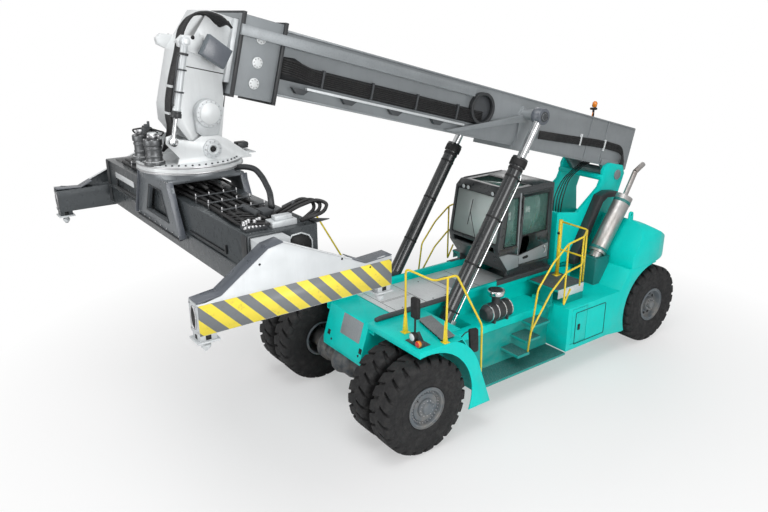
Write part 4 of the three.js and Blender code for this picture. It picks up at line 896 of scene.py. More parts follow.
def make_lift_pins():
    caps = boom_shape()
    eye_u, eye_w = boom_local(eye_point())
    for way in BOTH:
        y = way * 0.958
        caps.lathe([(0.0, 0.026 * way), (0.05, 0.026 * way), (0.06, 0.018 * way), (0.088, 0.018 * way),
                    (0.095, 0.0), (0.0, 0.0)], (eye_u, y, eye_w), "y", 32)
        caps.bolts([(eye_u + 0.073 * math.cos(a), y + way * 0.018, eye_w + 0.073 * math.sin(a))
                    for a in turns(6)], (0, way, 0), 0.009, 0.01)
    piece("lift_pin_caps", caps, "boom", CHARCOAL, 0.002)
    brace = boom_shape()
    for way in BOTH:
        y0, y1 = way * (BOOM_SIDE + 0.002), way * (BOOM_SIDE + 0.11)
        brace.prism([(eye_u + 0.05, eye_w - 0.02), (eye_u + 1.85, BOOM_BOTTOM + 0.02),
                     (eye_u + 1.65, BOOM_BOTTOM + 0.02), (eye_u + 0.0, eye_w - 0.14)], "xz", y0, y1)
    piece("lift_pin_braces", brace, "boom", BOOM_GREY, 0.004)


def eye_point():
    low, high = corners("lift_rod_left")
    return Vector((low.x + 0.125, 0, high.z - 0.125))


def boom_local(point):
    local = BOOM.inverted() @ Vector((point.x, 0, point.z))
    return local.x, local.z


make_boom_sides()
make_boom_hoses()
make_lift_pins()

# ---------------------------------------------------------------- boom head and levelling gear
HEAD_HALF = 0.36
BOSS = (2.52, 5.43)    # pivots of the head, along X and Z
YOKE_PIN = (2.50, 4.955)
MOTOR_X = 3.23
DAMPER_TOP = Vector((2.77, 0.48, 6.35))
DAMPER_FOOT = Vector((3.05, 0.48, 5.11))


def make_head_hoses():
    hoses, ties = several(2, site)
    count = 9
    for k in range(count):
        t = k / (count - 1)
        y = 0.52 - 0.022 * k
        top = 0.035 * (1 - t)
        path = [(2.14, 0.53 - 0.010 * k, 6.50 + 0.010 * k), (2.24, y, 6.60 - 0.012 * k + top),
                (2.42, y - 0.03, 6.69 + top * 0.5),
                (2.60, y - 0.10, 6.655 + top), (2.735, y - 0.14, 6.50), (2.80, y - 0.15, 6.22),
                (2.90, y - 0.155, 5.93), (2.985, y - 0.155, 5.62), (3.005, y - 0.155, 5.40),
                (2.985, y - 0.16, 5.27), (3.02, y - 0.17, 5.13), (3.08, y - 0.20, 5.02 - 0.01 * k)]
        hoses.tube(rounded(path, 0.09, 3), 0.0165, 8)
    for z, x in ((6.34, 2.775), (5.80, 2.945), (5.46, 3.005)):
        ties.block(x - 0.004, x + 0.028, 0.185, 0.385, z - 0.014, z + 0.014)
    piece("head_hoses", hoses, "boom_extension", HOSE)
    piece("head_hose_ties", ties, "boom_extension", PALE, 0.002)


def make_head_plates():
    seams, trims, boss, cover, bolts = several(5, site)
    for way in BOTH:
        y = way * HEAD_HALF
        for seam in ([(2.735, 6.045), (2.735, 6.033), (2.062, 5.872), (2.062, 5.885)],
                     [(2.20, 5.76), (2.212, 5.76), (2.27, 5.49), (2.258, 5.49)]):
            seams.prism(seam, "xz", y, way * (HEAD_HALF + 0.004))
        boss.lathe([(0.0, 0.13 * way), (0.175, 0.13 * way), (0.185, 0.12 * way), (0.185, 0.0)],
                   (BOSS[0], y, BOSS[1]), "y", 44)
        cover.lathe([(0.0, 0.150 * way), (0.128, 0.150 * way), (0.140, 0.142 * way), (0.140, 0.128 * way)],
                    (BOSS[0], y, BOSS[1]), "y", 44)
        disc_bolts(bolts, (BOSS[0], y + 0.128 * way, BOSS[1]), 0.160, 16, (0, way, 0), 0.008, 0.010)
        trims.prism([(2.705, 5.43), (2.69, 5.19), (2.62, 5.13), (2.40, 5.13), (2.36, 5.25), (2.335, 5.43)],
                    "xz", y, y + 0.085 * way)
    piece("head_seams", seams, "boom_extension", DARK)
    piece("head_boss_webs", trims, "boom_extension", LIGHT, 0.02)
    piece("head_bosses", boss, "boom_extension", LIGHT, 0.004)
    piece("head_boss_covers", cover, "boom_extension", PALE, 0.003)
    piece("head_boss_bolts", bolts, "boom_extension", STEEL)


def make_head_lamps():
    box, rim, hole, pins = several(4, site)
    for way in BOTH:
        outline = [(2.475, 6.44), (2.179, 6.218), (2.319, 5.995), (2.624, 6.202)]
        box.prism(outline, "xz", way * 0.50, way * 0.60)
        inner = [(2.40 + (x - 2.40) * 0.9, 6.214 + (z - 6.214) * 0.9) for x, z in outline]
        rim.prism(inner, "xz", way * 0.60, way * 0.606)
        box.prism([(2.50, 6.36), (2.34, 6.24), (2.38, 6.16), (2.54, 6.27)], "xz", way * HEAD_HALF,
                  way * 0.50)
        # The bracket's pin hole is a flat black disc: painted shade inside the hole.
        hole.rod((2.640, way * 0.4295, 6.395), (2.640, way * 0.4325, 6.395), 0.026, 24)
        pins.lathe([(0.0, 0.018 * way), (0.030, 0.018 * way), (0.036, 0.010 * way), (0.036, 0.0)],
                   (2.77, way * 0.53, 6.35), "y", 24)
    piece("head_plate_boxes", box, "boom_extension", RIM_GREY, 0.008)
    piece("head_plate_faces", rim, "boom_extension", SLATE, 0.003)
    piece("damper_bracket_holes", hole, "boom_extension", SEAL_AND_HOLE_SHADE)
    piece("damper_top_pins", pins, "boom_extension", PALE, 0.002)


def make_yoke_details():
    x, z = YOKE_PIN
    flange, dark, bolts = several(3, site)
    for way in BOTH:
        y = way * 0.428
        flange.lathe([(0.0, 0.028 * way), (0.045, 0.028 * way), (0.055, 0.050 * way), (0.078, 0.050 * way),
                      (0.085, 0.024 * way), (0.125, 0.024 * way), (0.132, 0.018 * way), (0.132, 0.0)],
                     (x, y, z), "y", 40)
        dark.rod((x, y + way * 0.028, z), (x, y + way * 0.034, z), 0.040, 28)
        disc_bolts(bolts, (x, y + way * 0.022, z), 0.105, 10, (0, way, 0), 0.010, 0.012)
    piece("yoke_pin_flanges", flange, "yoke", LIGHT, 0.002)
    piece("yoke_pin_centres", dark, "yoke", SEAL_AND_HOLE_SHADE)
    piece("yoke_pin_bolts", bolts, "yoke", STEEL)

    ring, ring_bolts = several(2, site)
    centre = (2.66, 0, 4.80)
    for lip in ((-0.105, -0.10, -0.085, -0.08), (-0.030, -0.026, -0.012, -0.006)):
        profile = list(zip((0.716, 0.722, 0.722, 0.716), lip))
        ring.lathe(profile + profile[:1], centre, "z", 72)
    disc_bolts(ring_bolts, centre, 0.665, 48, (0, 0, 1), 0.013, 0.018, "z")
    piece("slew_ring_lips", ring, "yoke", STEEL)
    piece("slew_ring_bolts", ring_bolts, "yoke", CHARCOAL)

    casing, fittings, lines, valve = several(4, site)
    for y in (0.225, -0.225):
        place = (MOTOR_X, y, 4.79)
        profile = [(0.127, 0.0), (0.135, 0.012), (0.135, 0.05), (0.112, 0.062), (0.104, 0.09), (0.104, 0.11),
                   (0.112, 0.118), (0.112, 0.136), (0.104, 0.144), (0.104, 0.21), (0.112, 0.218),
                   (0.112, 0.240), (0.104, 0.248), (0.104, 0.262), (0.120, 0.270), (0.120, 0.335),
                   (0.090, 0.350), (0.0, 0.350)]
        casing.lathe([(0.0, 0.0)] + profile, place, "z", 36)
        disc_bolts(fittings, (MOTOR_X, y, 4.84), 0.123, 12, (0, 0, 1), 0.010, 0.014, "z")
        disc_bolts(fittings, (MOTOR_X, y, 5.125), 0.104, 8, (0, 0, 1), 0.010, 0.016, "z")
        fittings.rod((MOTOR_X, y, 5.13), (MOTOR_X, y, 5.205), 0.062, 20)
        for turn in (0.6, 2.4, 4.2):
            c, s = math.cos(turn), math.sin(turn)
            root = Vector((MOTOR_X + 0.06 * c, y + 0.06 * s, 5.175))
            fittings.rod(root, root + Vector((0.045 * c, 0.045 * s, 0.0)), 0.017, 6)
            tip = root + Vector((0.06 * c, 0.06 * s, 0.0))
            lines.tube(rounded([tip, tip + Vector((0.05 * c, 0.05 * s, 0.05)),
                                Vector((3.19, y * 0.35, 5.235 + 0.02 * s)),
                                Vector((3.08, -0.02 + 0.03 * c, 5.16 + 0.02 * s))], 0.05), 0.011, 8)
    valve.block(3.17, 3.27, -0.06, 0.06, 5.16, 5.25)
    valve.block(3.19, 3.25, -0.09, 0.09, 5.18, 5.225)
    valve.rod((3.22, 0.0, 5.25), (3.22, 0.0, 5.30), 0.03, 14)
    valve.rod((3.20, 0.035, 5.25), (3.20, 0.035, 5.34), 0.017, 12)
    piece("slew_motor_casings", casing, "yoke", GUNMETAL, 0.002)
    piece("slew_motor_fittings", fittings, "yoke", STEEL)
    piece("slew_motor_lines", lines, "yoke", HOSE)
    piece("slew_valve_block", valve, "yoke", CHARCOAL, 0.003)

    tongue = site()
    tongue.prism([(1.98, 4.80), (1.98, 4.84), (1.75, 4.80), (1.75, 4.785)], "xz", -0.20, 0.20)
    eye = site()
    eye.block(1.80, 1.96, -0.07, 0.07, 4.84, 4.925)
    eye.rod((1.80, 0, 4.885), (1.775, 0, 4.885), 0.03, 20)
    piece("yoke_tongue", tongue, "yoke", LIGHT, 0.003)
    piece("yoke_camera", eye, "yoke", DARK, 0.006)


def make_damper():
    """Gland, end caps and oil pipe of the levelling cylinder, on the left of the boom head."""
    top = DAMPER_TOP
    along = (DAMPER_FOOT - top).normalized()
    gland = site()
    for start, end, radius in ((0.90, 0.955, 0.070), (0.872, 0.90, 0.062), (0.14, 0.17, 0.064)):
        gland.rod(top + along * start, top + along * end, radius, 28)
    piece("damper_gland", gland, "damper_barrel", DARK, 0.002)
    pipe = site()
    out = Vector((0.07, 0.01, 0.0))
    pipe.tube(rounded([top + along * 0.16, top + along * 0.18 + out, top + along * 0.78 + out,
                       top + along * 0.82], 0.02), 0.009, 8)
    for station in (0.34, 0.62):
        pipe.rod(top + along * station, top + along * (station + 0.02), 0.066, 24)
    piece("damper_pipe", pipe, "damper_barrel", CHARCOAL)


make_head_hoses()
make_head_plates()
make_head_lamps()
make_yoke_details()
make_damper()

# ---------------------------------------------------------------- slewing frame and spreader beam
SPREADER_X = 2.66
BEAM_TOP = 4.39


def make_slew_frame_trim():
    strips, ledges, heads, window = several(4, site)
    for front in BOTH:
        for way in BOTH:
            x = SPREADER_X + front * 0.528
            path = [(way * 0.566, 4.60), (way * 0.578, 4.52), (way * 0.856, 3.97), (way * 0.856, 3.91)]
            inner = [(y + way * 0.014, z) for y, z in path]
            outline = path + list(reversed(inner))
            strips.prism(outline, "yz", x - 0.045, x + 0.045)
        x0 = SPREADER_X + front * 0.539
        low, high = x0, x0 + front * 0.006
        for way in BOTH:
            rim = [(way * 0.425, 4.045), (way * 0.425, 4.03), (way * 0.44, 4.03), (way * 0.24, 4.445),
                   (0, 4.445), (0, 4.43), (way * 0.23, 4.43)]
            window.prism(rim, "yz", low, high)
        window.prism([(-0.44, 4.045), (-0.44, 4.03), (0.44, 4.03), (0.44, 4.045)], "yz", low, high)
        ledges.block(x0 - front * 0.02, x0 + front * 0.02, -0.84, 0.84, 3.885, 3.90)
        for k in range(8):
            y = -0.77 + 0.22 * k
            heads.bolts([(x0, y, 3.93)], (front, 0, 0), 0.011, 0.012)
    for k in range(14):
        y = -0.52 + 0.08 * k
        for front in BOTH:
            heads.bolts([(SPREADER_X + front * 0.535, y, 4.595)], (front, 0, 0), 0.009, 0.010)
    piece("frame_edge_strips", strips, "slew_frame", SLATE, 0.003)
    piece("frame_window_rims", window, "slew_frame", CHARCOAL)
    piece("frame_shoe_plates", ledges, "slew_frame", DARK, 0.002)
    piece("frame_bolts", heads, "slew_frame", STEEL)

    hang = site()
    for k, (x, y) in enumerate(((2.95, 0.30), (2.80, 0.42), (2.62, 0.50), (2.45, 0.40), (2.72, 0.20))):
        hang.tube(rounded([(x, y, 4.60), (x + 0.02, y + 0.05, 4.55), (x - 0.03, y + 0.16, 4.53),
                           (x - 0.02, y + 0.42, 4.525)], 0.06), 0.020, 8)
    hang.lathe([(0.0, -0.02), (0.12, -0.02), (0.12, -0.07), (0.07, -0.07), (0.07, -0.12), (0.0, -0.12)],
               (SPREADER_X, 0.0, 4.57), "z", 28)
    piece("frame_hose_drop", hang, "slew_frame", HOSE)


def make_beam_top():
    cover = site()
    cover.block(2.36, 2.98, -2.5, 2.42, BEAM_TOP, BEAM_TOP + 0.006)
    piece("beam_top_cover", cover, "spreader_beam", DARK, 0.002)
    hoses, clamps, fittings = several(3, site)
    for k in range(11):
        x = 2.46 + 0.052 * k
        wave = 0.012 * math.sin(k * 2.1)
        top = BEAM_TOP + 0.030 + 0.028 * (k % 2)
        end = 2.05 + 0.12 * math.sin(k * 1.7)
        path = [(x, -2.1, top), (x + wave, -1.2, top + 0.01), (x - wave, -0.2, top),
                (x + wave, 0.6, top + 0.012), (x - wave * 2, 1.3, top), (x + wave * 2, end - 0.2, top),
                (x + 0.03 * math.sin(k), end + 0.15, top - 0.01)]
        hoses.tube(rounded(path, 0.2), 0.021, 8)
    for y in (-1.6, -1.0, 0.95, 1.35, 1.75):
        for low, high in ((0.006, 0.02), (0.082, 0.094)):
            clamps.block(2.43, 3.01, y, y + 0.035, BEAM_TOP + low, BEAM_TOP + high)
        for x in (2.44, 2.62, 2.82, 3.0):
            fittings.rod((x, y + 0.018, BEAM_TOP), (x, y + 0.018, BEAM_TOP + 0.125), 0.008, 8)
    for k in range(5):
        x = 2.99 + 0.012 * k
        y = 1.55 + 0.13 * k
        hoses.tube(rounded([(2.96, y - 0.5, 4.43), (x, y, 4.44), (x - 0.02, y + 0.25, 4.42),
                            (2.90, y + 0.42, 4.47), (2.78, y + 0.5, 4.46)], 0.15), 0.015, 8)
    for reach, y in ((0.0, 2.22), (0.05, 2.30), (0.10, 2.38)):
        hoses.tube(rounded([(2.52, y, 4.47), (2.34, y + 0.02, 4.55), (2.18 - reach, y + 0.02, 4.60),
                            (2.08 - reach, y + 0.12, 4.56), (2.14 - reach * 0.4, y + 0.24, 4.50),
                            (2.40, 2.60, 4.44)], 0.09), 0.022, 8)
    piece("beam_hoses", hoses, "spreader_beam", HOSE)
    piece("beam_hose_clamps", clamps, "spreader_beam", CHARCOAL, 0.002)

    valves = site()
    valves.block(2.42, 2.74, 2.36, 2.54, BEAM_TOP, BEAM_TOP + 0.07)
    valves.block(2.46, 2.68, 2.40, 2.50, BEAM_TOP + 0.07, BEAM_TOP + 0.12)
    piece("beam_valve_covers", valves, "spreader_beam", LIGHT, 0.006)
    for k in range(6):
        x, y = 2.80 + 0.045 * k, 2.34 + 0.03 * (k % 3)
        fittings.rod((x, y, BEAM_TOP), (x, y, BEAM_TOP + 0.10), 0.020, 12)
        fittings.rod((x - 0.03, 2.44, BEAM_TOP + 0.045), (x + 0.04, 2.50, BEAM_TOP + 0.045), 0.017, 10)
    piece("beam_fittings", fittings, "spreader_beam", STEEL)
    block = site()
    block.block(2.78, 3.05, 2.36, 2.50, BEAM_TOP, BEAM_TOP + 0.055)
    block.block(2.52, 2.66, 1.96, 2.16, BEAM_TOP, BEAM_TOP + 0.10)
    block.rod((2.70, 1.70, 4.45), (2.70, 2.10, 4.45), 0.045, 18)
    block.rod((2.42, 2.20, 4.50), (2.28, 2.24, 4.56), 0.035, 14)
    piece("beam_valve_blocks", block, "spreader_beam", CHARCOAL, 0.004)


def make_beam_sides():
    guides, bars = several(2, site)
    for turn in BOTH:
        face = SPREADER_X + turn * 0.4405
        for way in BOTH:
            for thick, y0, y1, z0, z1 in ((0.030, 0.95, 2.08, 4.035, 4.052),
                                          (0.030, 2.055, 2.08, 4.052, 4.145),
                                          (0.012, 2.49, 2.62, 3.70, 4.38)):
                guides.block(face, face + turn * thick, way * y0, way * y1, z0, z1)
        bars.block(face, face + turn * 0.008, -2.15, -1.25, 4.17, 4.26)
    piece("beam_side_guides", guides, "spreader_beam", DARK, 0.003)
    piece("beam_side_bars", bars, "spreader_beam", PALE, 0.002)

    # The beam's end openings are flat black sheets: painted shade of the inside of the beam.
    holes, rims = several(2, site)
    for way in BOTH:
        y = way * 2.6505
        outline = [(2.30, 3.80), (2.36, 3.76), (2.56, 3.76), (2.61, 3.81), (2.61, 4.24), (2.56, 4.305),
                   (2.44, 4.315), (2.34, 4.27), (2.30, 4.20)]
        if way < 0:
            outline = [(2 * SPREADER_X - x, z) for x, z in outline]
        holes.prism(outline, "xz", y, y + way * 0.004)
        path = [Vector((x, y + way * 0.004, z)) for x, z in outline]
        rims.tube(path + path[:2], 0.010, 6)
    piece("beam_end_openings", holes, "spreader_beam", SEAL_AND_HOLE_SHADE)
    piece("beam_end_rims", rims, "spreader_beam", LIGHT)
    fin = site()
    fin.prism([(2.24, 2.40), (2.24, 2.64), (2.02, 2.60)], "xy", BEAM_TOP + 0.002, BEAM_TOP + 0.014)
    piece("beam_corner_plate", fin, "spreader_beam", CHARCOAL, 0.002)

    pipe = site()
    pipe.tube(rounded([(2.30, 0.48, 4.66), (2.16, 0.60, 4.70), (2.06, 0.78, 4.69), (2.06, 1.00, 4.60),
                       (2.17, 1.40, 4.50), (2.36, 1.80, 4.42)], 0.12, 5), 0.040, 14)
    piece("frame_to_beam_duct", pipe, "spreader_beam", DARK,
          bends=("slew_frame", "spreader_beam", at(2.1, 0.80, 4.68), at(2.34, 1.78, 4.42)))


def end_site(way):
    """Drawn for the left end; the right end is the same turned half round."""
    turned = Matrix.Identity(4)
    if way < 0:
        turned = Matrix.Translation((SPREADER_X, 0, 0)) @ Matrix.Rotation(PI, 4, "Z")
        turned = turned @ Matrix.Translation((-SPREADER_X, 0, 0))
    return Shape(Matrix.Translation((AXLE_X, 0, 0)) @ turned)


TWISTLOCK = (1.129, 2.926)
END_FACE = 3.0405
END_EDGE = 3.044
CROWN = [(3.89, 3.925), (3.62, 3.957), (3.06, 4.352), (2.88, 4.387), (2.0, 4.007), (1.81, 3.917),
         (1.43, 3.94)]


def make_spreader_end(side, way):
    body = "spreader_end_" + side
    stripes = end_site(way)
    stripes.prism([(3.885, 3.566), (1.435, 3.566), (1.435, 3.895), (1.80, 3.893), (3.60, 3.90),
                   (3.885, 3.90)],
                  "xz", END_FACE, END_FACE + 0.004)
    piece("end_stripes_" + side, stripes, body, STRIPES)

    edge = end_site(way)
    lip = end_site(way)
    for k, ((x0, z0), (x1, z1)) in enumerate(zip(CROWN, CROWN[1:])):
        strip, low, high, inner = (lip, 0.0, 0.012, 2.99) if k == 3 else (edge, 0.002 * (k > 3), 0.014, 2.83)
        strip.prism([(x0, z0 + low), (x1, z1 + low), (x1, z1 + high), (x0, z0 + high)], "xz", inner,
                    END_EDGE)
    piece("end_edge_flange_" + side, edge, body, SLATE, 0.003)
    piece("end_crown_lip_" + side, lip, body, PALE, 0.003)

    # The holes and openings of the end are flat black sheets and discs: painted shade of their insides.
    holes, rims, shoes, windows = [end_site(way) for _ in range(4)]
    for x, out in ((3.8905, 1), (1.4295, -1)):
        y, z = TWISTLOCK[1], 3.745
        oval = [Vector((x, y + 0.058 * math.cos(a), z + 0.125 * math.sin(a))) for a in turns(28)]
        holes.skin([holes.ring(oval), holes.ring([p + Vector((out * 0.004, 0, 0)) for p in oval])])
        lip_line = [Vector((p.x + out * 0.004, y + (p.y - y) * 1.10, z + (p.z - z) * 1.05)) for p in oval]
        rims.tube(lip_line + lip_line[:2], 0.009, 6)
        for y in (2.84, 3.01):
            for z in (3.60, 3.89):
                rims.bolts([(x, y, z)], (out, 0, 0), 0.010, 0.010)
    for x, z, radius, count in ((3.379, 3.717, 0.052, 28), (3.60, 3.72, 0.016, 16)):
        holes.rod((x, 2.811, z), (x, 2.807, z), radius, count)
    for x, z in ((2.14, 4.045), (3.17, 4.20), (1.75, 3.86)):
        holes.rod((x, END_FACE, z), (x, END_FACE + 0.004, z), 0.013, 16)
    piece("end_openings_" + side, holes, body, SEAL_AND_HOLE_SHADE)
    piece("end_opening_rims_" + side, rims, body, STEEL)

    for x in (SPREADER_X + TWISTLOCK[0], SPREADER_X - TWISTLOCK[0]):
        shoes.block(x - 0.125, x + 0.125, 2.80, 3.045, 3.470, 3.492)
        for y in (TWISTLOCK[1] - 0.0955, TWISTLOCK[1] + 0.0955):
            windows.block(x - 0.03, x + 0.03, y - 0.002, y + 0.002, 3.50, 3.55)
        windows.block(x + 0.0935, x + 0.0975, 2.90, 2.95, 3.50, 3.55)
        shoes.lathe([(0.0, -0.124), (0.024, -0.122), (0.05, -0.088), (0.054, -0.078), (0.054, -0.05),
                     (0.036, -0.042), (0.036, -0.005), (0.0, -0.005)], (x, TWISTLOCK[1], 3.470), "z", 28)
    piece("twistlock_plates_" + side, shoes, body, LIGHT, 0.003)
    piece("twistlock_windows_" + side, windows, body, SEAL_AND_HOLE_SHADE)


make_slew_frame_trim()
make_beam_top()
make_beam_sides()
for side, way in SIDES.items():
    make_spreader_end(side, way)

# ---------------------------------------------------------------- rails, mirrors and front deck
CHASSIS = BODY_OF["main_frame"]
FENDER_TOP = 1.845
RAIL_RADIUS = 0.0175
PLATE_LEAN = (0.95617, 0.29302)    # normal of the leaning front plate, along X and Z


def foot(shape, x, y, z, height, wide):
    """Flared foot of a rail post, with two gussets and a base plate."""
    shape.rod((x, y, z), (x, y, z + height), wide, 20, wide * 0.45)
    shape.block(x - wide * 1.5, x + wide * 1.5, y - wide * 1.5, y + wide * 1.5, z, z + 0.010)
    for across in (Vector((1, 0, 0)), Vector((0, 1, 0))):
        base, top, reach = Vector((x, y, z)), Vector((x, y, z + height)), across * wide * 1.4
        sheet = [base - reach, base + reach, top + reach * 0.4, top - reach * 0.4]
        half = across.yxz * 0.005
        shape.skin([shape.ring([p - half for p in sheet]), shape.ring([p + half for p in sheet])])


def make_front_rail(side, way):
    rail = site()
    base = FENDER_TOP + 0.002
    top = [(-0.10, 1.37, base), (-0.10, 1.37, 2.93), (-0.30, 1.81, 2.82), (-0.37, 2.048, 2.93),
           (-0.55, 2.048, 2.93), (-1.13, 2.048, 1.94), (-1.155, 2.048, 1.09)]
    rail.tube(rounded([(x, way * y, z) for x, y, z in top], 0.07, 5), RAIL_RADIUS, 12)
    rail.tube([(-0.37, way * 2.048, base), (-0.37, way * 2.048, 2.918)], RAIL_RADIUS, 12)
    foot(rail, -0.10, way * 1.37, base, 0.36, 0.040)
    foot(rail, -0.37, way * 2.030, base, 0.36, 0.036)
    piece("front_rail_" + side, rail, CHASSIS, YELLOW, 0.002, nodes=("front_handrail_" + side,))
    y = way * 1.79
    housing = site()
    outline = [(-0.075, 2.28), (-0.085, 2.30), (-0.085, 2.59), (-0.070, 2.615), (0.065, 2.615),
               (0.080, 2.59), (0.080, 2.30), (0.070, 2.28)]
    housing.prism([(y + across, z) for across, z in outline], "yz", 0.0, 0.070)
    housing.tube([(0.04, y, base), (0.04, y, 2.30)], 0.016, 10)
    piece("front_mirror_" + side, housing, CHASSIS, SEAL_AND_HOLE_SHADE, 0.012)
    face = site()
    face.prism([(y - 0.065, 2.30), (y - 0.065, 2.595), (y + 0.062, 2.595), (y + 0.062, 2.30)], "yz", -0.004,
               0.001)
    piece("front_mirror_glass_" + side, face, CHASSIS, CHROME)
    bracket = site()
    outer = way * 1.965
    outline = [(0.085, 0.0), (0.085, 0.10), (0.02, 0.19), (-0.05, 0.19), (-0.13, 0.02), (-0.13, 0.0)]
    bracket.prism([(x, base + z) for x, z in outline], "xz", y - way * 0.005, y + way * 0.005)
    bracket.block(-0.135, 0.085, way * 1.60, outer, base, base + 0.010)
    bracket.block(-0.02, 0.085, y, outer, base, base + 0.075)
    piece("lamp_bracket_" + side, bracket, CHASSIS, CHARCOAL, 0.006)
    head, flank = (0.05, y + way * 0.005, base + 0.135), (0.085, way * 1.925, base + 0.058)
    for name, profile, centre, sides, material, bevel in (
            ("front_lamp_", [(0.0, -0.05), (0.045, -0.05), (0.070, -0.015), (0.075, 0.045), (0.068, 0.058),
                             (0.0, 0.058)], head, 28, SEAL_AND_HOLE_SHADE, 0.003),
            ("front_lamp_glass_", [(0.0, 0.066), (0.035, 0.065), (0.062, 0.060), (0.062, 0.050),
                                   (0.0, 0.050)], head, 28, LAMP, 0.0),
            ("side_lamp_", [(0.0, 0.030), (0.040, 0.028), (0.047, 0.018), (0.048, -0.03), (0.0, -0.03)],
             flank, 26, RED, 0.002),
            ("side_lamp_ring_", [(0.048, 0.020), (0.054, 0.010), (0.054, -0.03), (0.048, -0.03),
                                 (0.048, 0.020)], flank, 26, AMBER, 0.0)):
        turned = site()
        turned.lathe(profile, centre, "x", sides)
        piece(name + side, turned, CHASSIS, material, bevel)


def make_rear_mirror(side, way):
    arm = site()
    arm.tube(rounded([(-0.72, way * 1.99, 1.80), (-0.80, way * 2.03, 1.90), (-0.88, way * 2.05, 1.90)], 0.03,
                     3), 0.009, 8)
    arm.tube([(-0.80, way * 2.075, 1.56), (-0.98, way * 2.06, 1.52)], 0.009, 8)
    arm.block(-0.76, -0.70, way * 1.95, way * 2.03, 1.78, 1.80)
    piece("rear_mirror_arm_" + side, arm, CHASSIS, SEAL_AND_HOLE_SHADE)
    glass = site()
    outline = [(-0.84, 1.93), (-0.86, 1.95), (-1.00, 1.93), (-1.03, 1.90), (-1.05, 1.54), (-1.03, 1.51),
               (-0.90, 1.52), (-0.88, 1.55)]
    glass.prism(outline, "xz", way * 2.030, way * 2.085)
    piece("rear_mirror_" + side, glass, CHASSIS, SEAL_AND_HOLE_SHADE, 0.014)


def make_front_deck():
    step, frame_bars = several(2, site)
    for way in BOTH:
        step.prism([(-0.53, way * 1.16), (-0.80, way * 1.18), (-0.60, way * 2.00), (-0.33, way * 1.99)], "xy",
                   FENDER_TOP + 0.035, FENDER_TOP + 0.045)
        for k in range(9):
            t = (k + 0.5) / 9
            frame_bars.block(-0.78 + 0.19 * t, -0.54 + 0.20 * t, way * (1.17 + 0.82 * t),
                             way * (1.19 + 0.82 * t), FENDER_TOP + 0.002, FENDER_TOP + 0.035)
    piece("fender_steps", step, CHASSIS, PLATE, 0.002)
    piece("fender_step_bars", frame_bars, CHASSIS, DARK)
    kerb = site()
    for way in BOTH:
        kerb.prism([(0.06, 1.850), (0.06, 1.905), (-0.05, 1.925), (-1.55, 1.925), (-1.60, 1.905),
                    (-1.60, 1.850)], "xz", way * 0.735, way * 0.800)
    piece("deck_kerbs", kerb, CHASSIS, CHARCOAL, 0.012)
    lean = Vector((-PLATE_LEAN[1], 0, PLATE_LEAN[0]))
    out = Vector((PLATE_LEAN[0], 0, PLATE_LEAN[1]))
    middle = Vector((0.124, 0.0, 1.530))

    def on_plate(y, up, raised):
        return middle + Vector((0, y, 0)) + lean * up + out * raised

    def patch(shape, outline, raised):
        shape.skin([shape.ring([on_plate(y, up, h) for y, up in outline]) for h in (-0.01, raised)])

    panel, holes, rivets = several(3, site)
    patch(panel, [(-0.13, -0.185), (-0.13, 0.185), (0.45, 0.185), (0.45, -0.185)], 0.006)
    piece("front_panel", panel, CHASSIS, CAB_GREY, 0.002)
    # The plate's holes are flat black patches: painted shade inside them.
    for y in (-0.45, 0.53):
        patch(holes, [(y - 0.04, -0.335), (y - 0.04, -0.245), (y + 0.04, -0.245), (y + 0.04, -0.335)], 0.003)
    for y in (-0.34, 0.50):
        patch(holes, [(y + 0.022 * math.cos(a), -0.385 + 0.022 * math.sin(a)) for a in turns(14)], 0.003)
    piece("front_plate_holes", holes, CHASSIS, SEAL_AND_HOLE_SHADE)
    for y in (-0.115, 0.435):
        for up in (-0.168, 0.168):
            rivets.rod(on_plate(y, up, 0.0), on_plate(y, up, 0.010), 0.006, 8)
    piece("front_panel_rivets", rivets, CHASSIS, STEEL)


def make_rear_rail(side, way):
    rail = site()
    y = way * 1.64
    upper = [(-2.74, y, 0.81), (-2.90, y, 1.99), (-3.26, y, 2.42), (-3.64, y, 2.70), (-4.06, y, 2.76),
             (-4.39, way * 1.45, 2.79), (-4.26, way * 0.92, 2.85)]
    lower = [(-2.74, y, 0.83), (-2.79, y, 1.20), (-3.26, y, 1.85), (-3.64, y, 2.15), (-4.06, y, 2.21),
             (-4.39, way * 1.45, 2.24), (-4.26, way * 0.92, 2.29)]
    for path in (upper, lower):
        rail.tube(rounded(path, 0.06, 4), RAIL_RADIUS, 12)
    for x, y0, low, high in ((-4.06, 1.64, BOX_LID, 2.75), (-4.39, 1.45, 1.74, 2.79)):
        rail.tube([(x, way * y0, low), (x, way * y0, high)], RAIL_RADIUS, 12)
    rail.tube(rounded([(-3.64, y, 2.69), (-3.64, y, 1.50), (-3.80, y, BOX_LID)], 0.05, 4), RAIL_RADIUS, 12)
    rail.tube([(-4.26, way * 0.92, 1.742), (-4.26, way * 0.92, 2.885)], 0.038, 24)
    rail.block(-4.335, -4.185, way * 0.86, way * 0.98, 1.742, 1.754)
    piece("rear_rail_" + side, rail, CHASSIS, YELLOW, 0.0, nodes=("rear_handrail_" + side,))
    clip = site()
    clip.block(-4.235, -4.20, way * 0.90, way * 0.94, 2.60, 2.64)
    piece("rear_rail_clip_" + side, clip, CHASSIS, SEAL_AND_HOLE_SHADE)


BOX_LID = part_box("side_box_left")[1][2] + 0.002    # just above the side boxes
for side, way in SIDES.items():
    make_front_rail(side, way)
    make_rear_mirror(side, way)
    make_rear_rail(side, way)
make_front_deck()

# ---------------------------------------------------------------- cab
CAB = BODY_OF["cab_shell"]
DOOR = BODY_OF["cab_door"]
TEAL = paint("dark_teal_paint", "turquoise_paint", srgb("1F7471"), 0.38, coat=0.2)
CAB_SKIN = 0.678      # outer faces of the cab: bare side, door frame and panels
DOOR_SKIN = 0.684
PANEL_SKIN = 0.686
GREEN_GLASS = glazing("green_glass", "seat_plastic", (0.20, 0.40, 0.35), 0.6)


PANE = 0.005


